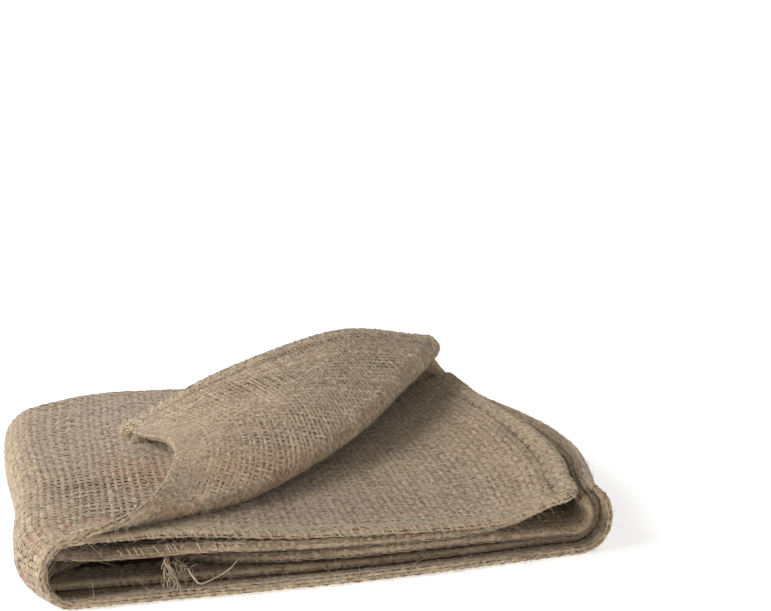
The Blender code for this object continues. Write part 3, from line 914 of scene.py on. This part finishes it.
class Nodes:
    """A material's node tree, with short calls for the nodes that it is made of."""

    def __init__(self, name):
        self.material = bpy.data.materials.new(name)
        self.material.use_nodes = True
        self.tree = self.material.node_tree
        self.shader = self.tree.nodes["Principled BSDF"]

    def add(self, kind, **inputs):
        node = self.tree.nodes.new("ShaderNode" + kind)
        for key, value in inputs.items():
            self.set(node.inputs[key.replace("_", " ")], value)
        return node

    def set(self, socket, value):
        if hasattr(value, "is_output"):
            self.tree.links.new(value, socket)
        else:
            socket.default_value = value

    def math(self, operation, first, second=0.0):
        node = self.tree.nodes.new("ShaderNodeMath")
        node.operation = operation
        for socket, value in zip(node.inputs, (first, second)):
            self.set(socket, value)
        return node.outputs[0]

    def mix(self, share, first, second, blend="MIX"):
        node = self.tree.nodes.new("ShaderNodeMix")
        node.data_type = "RGBA"
        node.blend_type = blend
        for socket, value in zip(COLOUR_MIX_INPUTS, (share, first, second)):
            self.set(node.inputs[socket], value)
        return node.outputs[COLOUR_MIX_OUTPUT]

    def range(self, value, low, high, to_low=0.0, to_high=1.0):
        node = self.tree.nodes.new("ShaderNodeMapRange")
        for socket, given in zip(node.inputs, (value, low, high, to_low, to_high)):
            self.set(socket, given)
        return node.outputs[0]

    def noise(self, vector, scale, detail, roughness):
        node = self.add("TexNoise", Vector=vector, Scale=scale, Detail=detail, Roughness=roughness)
        return node.outputs["Fac"]

    def attribute(self, name):
        node = self.tree.nodes.new("ShaderNodeAttribute")
        node.attribute_name = name
        return node.outputs["Fac"]

    def object_place(self):
        return self.add("TexCoord").outputs["Object"]

    def length(self, vector):
        node = self.tree.nodes.new("ShaderNodeVectorMath")
        node.operation = "LENGTH"
        self.set(node.inputs[0], vector)
        return node.outputs["Value"]

    def spot(self, centre, radius, core=0.1):
        """1 at a place on the piece, in bundle millimetres, fading to 0 this far from it."""
        away = self.add("Mapping", Vector=self.object_place())
        centre = (np.array(centre) - BUNDLE_CENTRE) * MM
        away.inputs["Location"].default_value = [-c / (r * MM) for c, r in zip(centre, radius)]
        away.inputs["Scale"].default_value = [1 / (r * MM) for r in radius]
        return self.range(self.length(away.outputs[0]), 1.0, core)

    def cast(self, colour, colours, kinds):
        """The colour with the patches of these kinds laid over it."""
        for centre, radii, strength, kind in CAST_PATCHES:
            if kind in kinds:
                share = self.math("MULTIPLY", self.spot(centre, radii), strength)
                colour = self.mix(share, colour, rgba(getattr(colours, kind)))
        return colour

    def mottle(self, colour, noise, low, high, dark, light):
        """The colour times a shade between dark and light, as the noise goes from low to high."""
        shade = self.mix(self.range(noise, low, high), rgba(dark), rgba(light))
        return self.mix(1.0, colour, shade, "MULTIPLY")

    def finish(self, colour, height=None, strength=0.0, distance=0.0):
        """Sets the colour and, where a height is given, the bump."""
        self.set(self.shader.inputs["Base Color"], colour)
        if height is not None:
            raised = self.add("Bump", Height=height, Strength=strength, Distance=distance)
            self.set(self.shader.inputs["Normal"], raised.outputs[0])
        return self.material

    def matt(self, roughness):
        self.shader.inputs["Roughness"].default_value = roughness
        self.shader.inputs["Specular IOR Level"].default_value = MATT_SPECULAR


def rgba(colour, gain=1.0):
    return [c * gain for c in colour[:3]] + [1.0]


# Patches with a cast of their own, and patches of painted shade: (centre, radii, strength, colour).
CAST_PATCHES = (
    ((62.0, 104.0, 34.0), (36.0, 44.0, 14.0), 0.70, "warm"),
    ((118.0, 66.0, 38.0), (74.0, 30.0, 14.0), 0.60, "warm"),
    ((62.0, 18.0, 20.0), (30.0, 24.0, 14.0), 0.50, "warm"),
    ((252.0, 2.0, 34.0), (10.0, 10.0, 10.0), 0.25, "warm"),
    ((50.0, 200.0, 34.0), (110.0, 130.0, 20.0), 0.55, "mauve"),
    # Painted shade of the flap on the layer under it.
    ((140.0, 40.0, 28.0), (120.0, 60.0, 11.0), 0.75, "flap_shade"),
    # The last two are painted shade deep between the layers at the front left.
    ((44.0, 14.0, 23.5), (52.0, 22.0, 5.5), 0.80, "shade"),
    ((44.0, 26.0, 14.0), (66.0, 38.0, 9.5), 1.00, "shade"),
)

# Noises: (waves to the metre, detail, roughness).
YARN_FIBRES = (1500.0, 2.0, 0.6)
YARN_CLUMPS = (430.0, 2.0, 0.6)
GOLDEN_PATCHES = (24.0, 3.0, 0.5)
DYE_STREAKS = (210.0, 2.0, 0.5)
THREAD_FIBRES = (1600.0, 2.0, 0.6)
WALL_FIBRES = (1100.0, 2.0, 0.6)
WALL_BEND = (90.0, 2.0, 0.5)

# Mottling: (lowest and highest noise, darkest shade, lightest shade).
CLUMP_MOTTLE = (0.32, 0.68, (0.62, 0.595, 0.565), (1.22, 1.22, 1.22))
FIBRE_MOTTLE = (0.25, 0.75, (0.58, 0.55, 0.51), (1.28, 1.28, 1.28))
GOLDEN_NOISE = (0.44, 0.68, 0.0, 0.5)  # lowest and highest noise, and how golden they are
STREAK_NOISE = (0.42, 0.6)
DYE_STRENGTH = 0.65
THREAD_NOISE = (0.25, 0.75)
THREAD_SHADES = (0.7, 1.15)
WALL_NOISE = (0.3, 0.7)
WALL_SHADE = 0.80
WALL_GAP_SHADE = 2.2
WALL_YARNS = (0.6, 0.9)       # heights of the drawn weave at which its painted shade ends and a yarn is whole
WALL_OPEN = (0.15, 0.75)      # openness at which the drawn weave begins to give way to painted shade, and is gone
WALL_BEND_SIZE = 0.9

# Finishes. A bump is (strength, distance).
JUTE_ROUGHNESS = 0.88
MATT_ROUGHNESS = 0.95
MATT_SPECULAR = 0.2
SHEEN_WEIGHT = 0.2
SHEEN_ROUGHNESS = 0.6
YARN_BUMP = (0.6, 0.00018)
WALL_BUMP = (0.8, 0.0005)


def yarn_material(colours):
    """Jute yarn: every yarn has its own tone, mottled by its fibres, and a few are dyed."""
    name = "jute_yarn"
    if name in bpy.data.materials:
        return bpy.data.materials[name]
    nodes = Nodes(name)
    place = nodes.object_place()
    fine = nodes.noise(place, *YARN_FIBRES)
    tone = nodes.range(nodes.attribute("tone"), 0.0, 1.0)
    colour = nodes.mix(tone, rgba(colours.dark), rgba(colours.light))
    golden = nodes.range(nodes.noise(place, *GOLDEN_PATCHES), *GOLDEN_NOISE)
    colour = nodes.mix(golden, colour, rgba(colours.golden))
    # Two of these kinds are painted shade: on the layer under the flap, and deep between the layers.
    colour = nodes.cast(colour, colours, ("warm", "mauve", "flap_shade", "shade"))
    streak = nodes.range(nodes.noise(place, *DYE_STREAKS), *STREAK_NOISE)
    dyed = nodes.math("MULTIPLY", nodes.math("MULTIPLY", nodes.attribute("dye"), streak), DYE_STRENGTH)
    colour = nodes.mix(dyed, colour, rgba(colours.stripe))
    # Painted shade in the groove that the side's stitches pull in.
    colour = nodes.mix(nodes.attribute("crease"), colour, rgba(colours.gap))
    colour = nodes.mottle(colour, nodes.noise(place, *YARN_CLUMPS), *CLUMP_MOTTLE)
    colour = nodes.mottle(colour, fine, *FIBRE_MOTTLE)
    nodes.matt(JUTE_ROUGHNESS)
    nodes.shader.inputs["Sheen Weight"].default_value = SHEEN_WEIGHT
    nodes.shader.inputs["Sheen Roughness"].default_value = SHEEN_ROUGHNESS
    return nodes.finish(colour, fine, *YARN_BUMP)


def thread_material(name, colour):
    """Plain spun thread in one colour, lightly mottled."""
    nodes = Nodes(name)
    fine = nodes.range(nodes.noise(nodes.object_place(), *THREAD_FIBRES), *THREAD_NOISE)
    nodes.matt(JUTE_ROUGHNESS)
    return nodes.finish(nodes.mix(fine, *(rgba(colour, shade) for shade in THREAD_SHADES)))


def wall_material(colours):
    """The walls: the same weave drawn in the surface, seen dimly between the yarns that lie on it, painted
    darker, with painted shade in its drawn gaps, where it stands open and deep between the layers.
    """
    nodes = Nodes("jute_walls")
    uv = nodes.tree.nodes.new("ShaderNodeUVMap")
    uv.uv_map = "weave"
    split = nodes.add("SeparateXYZ", Vector=uv.outputs[0])
    place = nodes.object_place()
    uneven = nodes.math("SUBTRACT", nodes.noise(place, *WALL_BEND), 0.5)
    bend = nodes.math("MULTIPLY", uneven, WALL_BEND_SIZE)
    rows = []
    for way, pitch in zip(split.outputs, (WEFT_PITCH, WARP_PAIR_PITCH / 2)):
        turn = nodes.math("ADD", nodes.math("DIVIDE", way, pitch * MM), bend)
        rows.append(nodes.math("ABSOLUTE", nodes.math("SINE", nodes.math("MULTIPLY", turn, np.pi))))
    yarns = nodes.math("MAXIMUM", *rows)
    fine = nodes.range(nodes.noise(place, *WALL_FIBRES), *WALL_NOISE)
    jute = nodes.mix(fine, rgba(colours.dark, WALL_SHADE), rgba(colours.light, WALL_SHADE))
    # Painted shade in the drawn gaps between the yarns.
    dim = nodes.mix(nodes.range(yarns, *WALL_YARNS), rgba(colours.gap, WALL_GAP_SHADE), jute)
    opened = nodes.range(nodes.attribute("opened"), *WALL_OPEN)
    # Painted shade where the weave stands open, and deep between the layers.
    colour = nodes.cast(nodes.mix(opened, dim, rgba(colours.gap)), colours, ("shade",))
    nodes.matt(MATT_ROUGHNESS)
    return nodes.finish(colour, yarns, *WALL_BUMP)


# ---------------------------------------------------------------------------
# Settings


def colour_setting(name, description, default):
    return bpy.props.FloatVectorProperty(
        name=name, description=description, subtype="COLOR", size=3, min=0.0, max=1.0, default=default
    )


class SackColours(bpy.types.PropertyGroup):
    """Colours of the cloth and its threads."""

    light: colour_setting("Light yarn", "The palest jute yarns", (0.585, 0.455, 0.312))
    dark: colour_setting("Dark yarn", "The darkest jute yarns", (0.30, 0.227, 0.150))
    golden: colour_setting("Golden yarn", "Patches with more straw colour", (0.46, 0.355, 0.225))
    mauve: colour_setting("Mauve yarn", "The greyer cast at the mouth layer's back", (0.56, 0.455, 0.365))
    warm: colour_setting("Warm patch", "The red-brown cast beside the turned corner", (0.46, 0.265, 0.155))
    # Painted shade of the flap on the layer under it.
    flap_shade: colour_setting("Flap shade", "Painted shade of the flap on the layer under it", (0.30, 0.222, 0.155))
    # Painted shade deep between the layers.
    shade: colour_setting("Deep folds", "Painted shade deep between the layers", (0.11, 0.078, 0.052))
    # Painted shade between the yarns, where the weave stands open, and in the stitched groove.
    gap: colour_setting("Gap shade", "Painted shade between the yarns and in the stitched groove", (0.125, 0.088, 0.056))
    thread: colour_setting("Sewing thread", "Pale sewing and loose threads", (0.60, 0.48, 0.345))
    basting: colour_setting("Bottom thread", "The dull stitches of the bottom seam", (0.44, 0.345, 0.235))
    frayed: colour_setting("Frayed ends", "The golden strands that fray out of the tip", (0.80, 0.67, 0.49))
    straw: colour_setting("Straw thread", "The golden stitches of the sewn side", (0.60, 0.47, 0.30))
    stripe: colour_setting("Stripe", "The thin stripe beside the mouth", (0.50, 0.15, 0.10))


def step_setting(name, seam, default):
    return bpy.props.FloatProperty(
        name=name, description="Way from one stitch of the " + seam + " to the next",
        default=default, min=0.002, max=0.02, unit="LENGTH",
    )


class SackSizes(bpy.types.PropertyGroup):
    """Sizes that a user would change."""

    hairs: bpy.props.IntProperty(
        name="Hairs", description="How many stray fibres stand out of the cloth",
        default=5600, min=0, max=9000,
    )
    side_stitch: step_setting("Side stitch", "sewn side", 0.0078)
    bottom_stitch: step_setting("Bottom stitch", "bottom seam", 0.0048)
    front_stitch: step_setting("Front stitch", "front fold's edge", 0.0042)


# ---------------------------------------------------------------------------
# Operators


class SACK_OT_walls(bpy.types.Operator):
    """Lays both walls of the folded sack as one doubled cloth"""

    bl_idname = "sack.walls"
    bl_label = "Walls"

    def execute(self, context):
        ends = SECTION_LENGTH * np.array((0.0, *TURN_SHARES, 1.0))
        stretches = [
            np.linspace(ends[k], ends[k + 1], count, endpoint=k == len(TURN_SHARES))
            for k, count in enumerate(WALL_COLUMNS)
        ]
        u = np.concatenate(stretches)
        grid, _ = sack_rows(u / SECTION_LENGTH)
        normal = normals_of(grid)
        offset = (WALL_OFFSET - PINCH * (1 - ramp(u, *PINCH_END)))[None, :, None]
        wall_a, wall_b = grid + normal * offset, grid - normal * offset
        beyond = unit(grid[:, -1] - grid[:, -2])
        turns = np.stack([
            grid[:, -1] + normal[:, -1] * WALL_OFFSET * np.cos(a) + beyond * WALL_OFFSET * np.sin(a)
            for a in np.radians(WALL_TURN_DEGREES)
        ], 1)
        sheet = np.concatenate([wall_a, turns, wall_b[:, ::-1]], 1)
        rows, columns = sheet.shape[:2]
        lengths = lengths_of(sheet)
        steps = WALL_TURN_STEP * np.arange(1, len(WALL_TURN_DEGREES) + 2)
        way = np.concatenate([u, SECTION_LENGTH + steps[:-1], 2 * SECTION_LENGTH + steps[-1] - u[::-1]])
        index = np.arange(rows * columns).reshape(rows, columns)
        corners = ((0, 0), (0, 1), (1, 1), (1, 0))
        shift = [(slice(a, rows - 1 + a), slice(b, columns - 1 + b)) for a, b in corners]
        faces = np.stack([index[s].ravel() for s in shift], -1)
        place = np.stack([np.broadcast_to(way, (rows, columns)), lengths], -1) * MM
        uvs = np.stack([place[s].reshape(-1, 2) for s in shift], 1)
        zones = ((wall_a, "mouth"), (turns, "edge"), (wall_b[:, ::-1], "flap"))
        opened = np.concatenate([openness(place, zone) for place, zone in zones], 1)
        walls = new_mesh_object(
            "walls", sheet.reshape(-1, 3), faces, wall_material(context.scene.sack_colours), uvs,
            opened=opened.ravel(),
        )
        solid = walls.modifiers.new("wall", "SOLIDIFY")
        solid.thickness = WALL_THICKNESS * MM
        solid.offset = 0.0
        with context.temp_override(object=walls, active_object=walls):
            bpy.ops.object.modifier_apply(modifier=solid.name)
        dress(walls)
        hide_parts("sack")
        return {"FINISHED"}


def between_sides(s):
    """Where a face has yarns of its own, and not those of the strips that wrap the two sides."""
    return (s > EDGE_REACH) & (s < SECTION_LENGTH - EDGE_REACH)


class SACK_OT_mouth_yarns(bpy.types.Operator):
    """Weaves both faces of the mouth layer: the one round the bundle, the rim and the turned corner"""

    bl_idname = "sack.mouth_yarns"
    bl_label = "Mouth layer yarns"

    def execute(self, context):
        face = mouth_face()
        last = share_on_top(FLAP_END_X) * SECTION_LENGTH
        warps, wave = edged_plans(face.low.min(), face.high.max(), SELVEDGE_WARPS)

        def keep(s, t):
            turned = (s < last) & (t < inner_row(face, MARKS["flat"], s) + PAST_FLAP_FOLD)
            beside = between_sides(s) | (np.abs(t) < LIP_YARNS)
            return beside & ((t < inner_row(face, INSIDE_ROWS, s)) & (t < INSIDE_MOUTH) | turned)

        def open_at(place, t):
            inner, outer = openness(place, "flap"), openness(place, "mouth")
            return np.where(t > 0, inner, outer) * ramp(np.abs(t), *MOUTH_BORDER)

        def dye(own, s, t):
            striped = (np.abs(own) > STRIPE_PLACE[0]) & (np.abs(own) < STRIPE_PLACE[1])
            return striped * np.where(t < 0, 1.0, INNER_STRIPE)

        colours = context.scene.sack_colours
        weave("mouth", face, "t", wefts_round(), warps, wave, keep, colours, open_at, seed=1, dye=dye)
        return {"FINISHED"}


class SACK_OT_seam_yarns(bpy.types.Operator):
    """Weaves what shows of the layer that ends at the bottom seam"""

    bl_idname = "sack.seam_yarns"
    bl_label = "Seam layer yarns"

    def execute(self, context):
        face = seam_face()
        fold = np.array([row[1:3] for row in FLAP_ROWS])
        warps, wave = edged_plans(face.low.min(), face.high.max(), SEAM_WARPS)

        def keep(s, t):
            place, _ = face.read(s, t)
            open_top = place[..., 1] < np.interp(place[..., 0], fold[:, 0], fold[:, 1]) + SEAM_UNDER_FLAP
            on_top = s < TURN_SHARES[0] * SECTION_LENGTH * SEAM_TOP_SHARE
            beside = between_sides(s) | (np.abs(t) < LIP_YARNS)
            return beside & ((on_top & open_top & (t < 0)) | (np.abs(t) < SEAM_EDGE))

        def open_at(place, t):
            return openness(place, "seam") * ramp(np.abs(t), *SEAM_BORDER)

        colours = context.scene.sack_colours
        weave(
            "seam", face, "t", wefts_round(), warps, wave, keep, colours, open_at, seed=3, crease=SEAM_CREASE_SHADE
        )
        return {"FINISHED"}


class SACK_OT_front_yarns(bpy.types.Operator):
    """Weaves the folded edge between the layers at the front"""

    bl_idname = "sack.front_yarns"
    bl_label = "Front fold yarns"

    def execute(self, context):
        face = front_face()
        warps, wave = pair_plans(face.low.min(), face.high.max())
        deeper, start, end = FRONT_CORNER

        def keep(s, t):
            deep = FRONT_EDGE[1] + deeper * ramp(s, start * SECTION_LENGTH, end * SECTION_LENGTH)
            return between_sides(s) & (t > FRONT_EDGE[0]) & (t < deep)

        def open_at(place, t):
            return openness(place, "front")

        colours = context.scene.sack_colours
        weave("front", face, "t", wefts_round(), warps, wave, keep, colours, open_at, seed=4)
        return {"FINISHED"}


class SACK_OT_edge_yarns(bpy.types.Operator):
    """Wraps the sewn side and the folded side of every layer in close yarns"""

    bl_idname = "sack.edge_yarns"
    bl_label = "Side yarns"

    def execute(self, context):
        close = np.array(EDGE_WEFTS)
        close = np.concatenate([-close[::-1], close])
        wefts = plan(close, (-1.0) ** np.arange(len(close)))

        def open_at(place, t):
            return openness(place, "edge")

        colours = context.scene.sack_colours
        for seed, name, face in ((5, "sewn_side", sewn_edge_face()), (6, "folded_side", side_fold_face())):
            last = face.s[-1]
            warps, wave = pair_plans(-WARP_PAIR_PITCH, last + WARP_PAIR_PITCH)

            def keep(s, t):
                return (np.abs(t) < EDGE_WRAP) & (s > SIDE_GAP) & (s < last - SIDE_GAP)

            weave(name, face, "s", wefts, warps, wave, keep, colours, open_at, seed, bend=False)
        return {"FINISHED"}


class SACK_OT_sewing(bpy.types.Operator):
    """Sews over the sewn side, the bottom seam and the front fold's edge"""

    bl_idname = "sack.sewing"
    bl_label = "Sewing"

    def execute(self, context):
        colours, sizes = context.scene.sack_colours, context.scene.sack_sizes
        faces = {"side": sewn_edge_face(), "bottom": seam_face(), "front": front_face()}
        part = np.linspace(-1.0, 1.0, STITCH_POINTS)
        rise, sink, late = STITCH_RISE
        for name, seed, reach, slant, width, uneven, colour in STITCHES:
            rng = np.random.default_rng(SEED + seed)
            face, step = faces[name], getattr(sizes, name + "_stitch") / MM
            sewn = (STITCH_MARGIN, face.s[-1] - STITCH_MARGIN)
            starts = np.arange(*(FRONT_STITCHES if name == "front" else sewn), step)
            starts = starts + rng.normal(0.0, uneven * step, len(starts))
            one_each = (len(starts), 1)
            reach_low = reach * rng.uniform(*STITCH_REACHES, one_each)
            rows_t = part * np.where(part < 0, reach_low, reach * STITCH_INNER_SHARE)
            slants = slant * rng.uniform(*STITCH_SLANTS, one_each)
            shift, bob = (rng.normal(0.0, size, rows_t.shape) for size in STITCH_WAVER)
            rows_s = starts[:, None] + slants * (part + 1) / 2 + shift
            height = rise - sink * np.abs(part) ** late + bob
            piece = name + "_stitches"
            thread = thread_material(piece + "_thread", getattr(colours, colour))
            crossing_tubes(piece, face, rows_s, rows_t, height, width, STITCH_HALF_HEIGHT, thread)
        return {"FINISHED"}


class SACK_OT_loose_ends(bpy.types.Operator):
    """Lays the cord on the front fold's edge, and hangs the loose threads and the frayed ends"""

    bl_idname = "sack.loose_ends"
    bl_label = "Loose ends"

    def execute(self, context):
        colours = context.scene.sack_colours
        rng = np.random.default_rng(SEED + LOOSE_SEED)
        way = np.linspace(*EDGE_CORD, EDGE_CORD_POINTS)
        below, height = (
            place + wander(rng, 1, way, *uneven) for place, uneven in zip(EDGE_CORD_PLACE, EDGE_CORD_WAVER)
        )
        crossing_tubes(
            "edge_cord", front_face(), way[None], below, height, *EDGE_CORD_HALF,
            yarn_material(colours), tone=EDGE_CORD_TONE,
        )
        part = np.linspace(0.0, 1.0, LOOSE_STEPS)
        thick, taper = LOOSE_TAPER
        for name, colour, groups in (
            ("loose_threads", colours.thread, LOOSE_THREADS), ("frayed_ends", colours.frayed, FRAYED_ENDS),
        ):
            ways, widths = [], []
            for count, width, spread, frizz, knots in groups:
                line = smooth(part * (len(knots) - 1), [(k, *knot) for k, knot in enumerate(knots)])
                root, tip = (rng.normal(0.0, size, (count, 1, 3)) for size in (LOOSE_ROOT * spread, spread))
                curls = wander(rng, 3 * count, part, FRIZZ_SPACING, frizz).reshape(count, 3, LOOSE_STEPS)
                ends = root * (1 - part[:, None]) + tip * part[:, None]
                ways.append(line + ends + np.moveaxis(curls, 1, 2) * ramp(part, *FRIZZ_START)[:, None])
                widths.append(width * (thick - taper * part) * rng.uniform(*LOOSE_WIDTHS, (count, 1)))
            way, width = np.concatenate(ways), np.concatenate(widths)
            up = np.broadcast_to(rng.normal(0.0, 1.0, (len(way), 1, 3)), way.shape)
            points, quads, _ = tubes(way, up, width, width, np.ones(way.shape[:2], bool))
            dress(new_mesh_object(name, points, quads, thread_material(name + "_fibre", colour)))
        return {"FINISHED"}


# Where hairs stand: (face, share of them, lowest and highest s, lowest and highest t). Those on the
# flap, from 0 to 180, are then spread again from the mouth to the flap's fold.
FAR_END = SECTION_LENGTH - HAIR_MARGIN
FLAP_BED = ("mouth", 0.22, HAIR_MARGIN, 240.0, 0.0, 180.0)
HAIR_BEDS = (
    ("mouth", 0.26, HAIR_MARGIN, FAR_END, -280.0, -3.0),
    FLAP_BED,
    ("mouth", 0.10, HAIR_MARGIN, FAR_END, -4.0, 4.0),
    ("seam", 0.16, HAIR_MARGIN, 250.0, -170.0, 0.0),
    ("seam", 0.07, HAIR_MARGIN, FAR_END, -3.0, 3.0),
    ("front", 0.06, HAIR_MARGIN, FAR_END, -8.0, 8.0),
    ("sewn", 0.09, 2.0, 1000.0, -6.0, 6.0),
    ("side", 0.04, 2.0, 1000.0, -6.0, 6.0),
)


class SACK_OT_hairs(bpy.types.Operator):
    """Scatters stray fibres over every face"""

    bl_idname = "sack.hairs"
    bl_label = "Hairs"

    def execute(self, context):
        rng = np.random.default_rng(SEED + HAIR_SEED)
        faces = {
            "mouth": mouth_face(), "seam": seam_face(), "front": front_face(),
            "sewn": sewn_edge_face(), "side": side_fold_face(),
        }
        found = []
        for bed in HAIR_BEDS:
            name, share, low_s, high_s, low_t, high_t = bed
            face, n = faces[name], int(context.scene.sack_sizes.hairs * share)
            s, t = rng.uniform(low_s, high_s, n), rng.uniform(low_t, high_t, n)
            if bed is FLAP_BED:
                t = rng.uniform(0.0, 1.0, n) * inner_row(face, MARKS["flat"], s)
            kept = face.inside(s, t)
            found.append(face.read(s[kept], t[kept]))
        place, normal = (np.concatenate(values) for values in zip(*found))
        n = len(place)
        side_way = unit(np.cross(normal, rng.normal(0.0, 1.0, (n, 3))))
        bent = np.cross(side_way, normal)
        length = rng.gamma(*HAIR_LENGTH, (n, 1, 1)) + SHORTEST_HAIR
        rise, curl = rng.uniform(*HAIR_RISE, (n, 1, 1)), rng.normal(0.0, HAIR_CURL, (n, 1, 1))
        part = np.linspace(0.0, 1.0, HAIR_POINTS)[None, :, None]
        way = (
            place[:, None] + normal[:, None] * (HAIR_ROOT + length * rise * part * (1.0 - HAIR_DROOP * part))
            + side_way[:, None] * length * part + bent[:, None] * length * curl * part**2
        )
        low, high = (np.array(corner) / MM + BUNDLE_CENTRE for corner in CAD_BOX)
        way = np.clip(way, low - HAIR_REACH, high + HAIR_REACH)
        thick, taper = HAIR_TAPER
        thin = HAIR_HALF_WIDTH * (thick - part[..., 0] * taper) + 0 * length[..., 0]
        up = np.broadcast_to(normal[:, None], way.shape)
        points, quads, _ = tubes(way, up, thin, thin, np.ones(way.shape[:2], bool))
        material = thread_material("jute_hair", context.scene.sack_colours.thread)
        dress(new_mesh_object("hairs", points, quads, material))
        return {"FINISHED"}


class SACK_OT_declare(bpy.types.Operator):
    bl_idname = "sack.declare"
    bl_label = "Declare the cloth"

    def execute(self, context):
        return {"FINISHED"}


class SACK_OT_stage(bpy.types.Operator):
    """Sets the pale floor, the soft light and the camera"""

    bl_idname = "sack.stage"
    bl_label = "Stage"

    def execute(self, context):
        scene = context.scene
        bpy.ops.object.select_all(action="DESELECT")
        bpy.ops.mesh.primitive_plane_add(size=FLOOR_SIZE, location=(0.0, 0.0, 0.0))
        floor = context.active_object
        floor.name = "floor"
        pale = Nodes("pale_floor")
        pale.shader.inputs["Base Color"].default_value = rgba(WHITE, FLOOR_GREY)
        pale.shader.inputs["Emission Color"].default_value = WHITE
        glow = pale.range(pale.length(pale.object_place()), *FLOOR_GLOW_REACH, *FLOOR_GLOW)
        pale.set(pale.shader.inputs["Emission Strength"], glow)
        pale.matt(MATT_ROUGHNESS)
        floor.data.materials.append(pale.material)

        world = bpy.data.worlds.new("soft_white")
        world.use_nodes = True
        tree = world.node_tree
        way = tree.nodes.new("ShaderNodeTexCoord")
        split = tree.nodes.new("ShaderNodeSeparateXYZ")
        fade = tree.nodes.new("ShaderNodeMapRange")
        for socket, value in zip(fade.inputs[1:5], (*HORIZON_FADE, HORIZON_STRENGTH, SKY_STRENGTH)):
            socket.default_value = value
        tree.links.new(way.outputs["Generated"], split.inputs[0])
        tree.links.new(split.outputs["Z"], fade.inputs[0])
        tree.links.new(fade.outputs[0], tree.nodes["Background"].inputs["Strength"])
        tree.nodes["Background"].inputs["Color"].default_value = WHITE
        scene.world = world

        for name, place, size, power in LAMPS:
            light = bpy.data.lights.new(name, "AREA")
            light.energy = power
            light.size = size
            lamp = bpy.data.objects.new(name, light)
            lamp.location = place
            lamp.rotation_euler = (-lamp.location).to_track_quat("-Z", "Y").to_euler()
            scene.collection.objects.link(lamp)

        camera_data = bpy.data.cameras.new("camera")
        camera_data.sensor_width = CAMERA_SENSOR
        camera_data.lens = CAMERA_LENS
        camera = bpy.data.objects.new("camera", camera_data)
        camera.location = (np.array(CAMERA_PLACE) - BUNDLE_CENTRE) * MM
        camera.rotation_euler = Vector(CAMERA_WAY).to_track_quat("-Z", "Y").to_euler()
        scene.collection.objects.link(camera)
        scene.camera = camera
        scene.view_settings.view_transform = "Standard"
        return {"FINISHED"}


OPERATORS = (
    SACK_OT_walls,
    SACK_OT_mouth_yarns,
    SACK_OT_seam_yarns,
    SACK_OT_front_yarns,
    SACK_OT_edge_yarns,
    SACK_OT_sewing,
    SACK_OT_loose_ends,
    SACK_OT_hairs,
    SACK_OT_declare,
    SACK_OT_stage,
)


class SACK_PT_panel(bpy.types.Panel):
    """Lists the sack's pieces and its settings"""

    bl_idname = "SACK_PT_panel"
    bl_label = "Folded Jute Sack"
    bl_space_type = "VIEW_3D"
    bl_region_type = "UI"
    bl_category = "Sack"

    def draw(self, context):
        for group in (context.scene.sack_colours, context.scene.sack_sizes):
            for name in group.__annotations__:
                self.layout.prop(group, name)
        for operator in OPERATORS:
            self.layout.operator(operator.bl_idname)


CLASSES = (SackColours, SackSizes, *OPERATORS, SACK_PT_panel)


def register():
    for cls in CLASSES:
        bpy.utils.register_class(cls)
    bpy.types.Scene.sack_colours = bpy.props.PointerProperty(type=SackColours)
    bpy.types.Scene.sack_sizes = bpy.props.PointerProperty(type=SackSizes)


def unregister():
    del bpy.types.Scene.sack_sizes
    del bpy.types.Scene.sack_colours
    for cls in reversed(CLASSES):
        bpy.utils.unregister_class(cls)


def main():
    register()
    for operator in OPERATORS:
        group, name = operator.bl_idname.split(".")
        getattr(getattr(bpy.ops, group), name)()


if __name__ == "__main__":
    main()
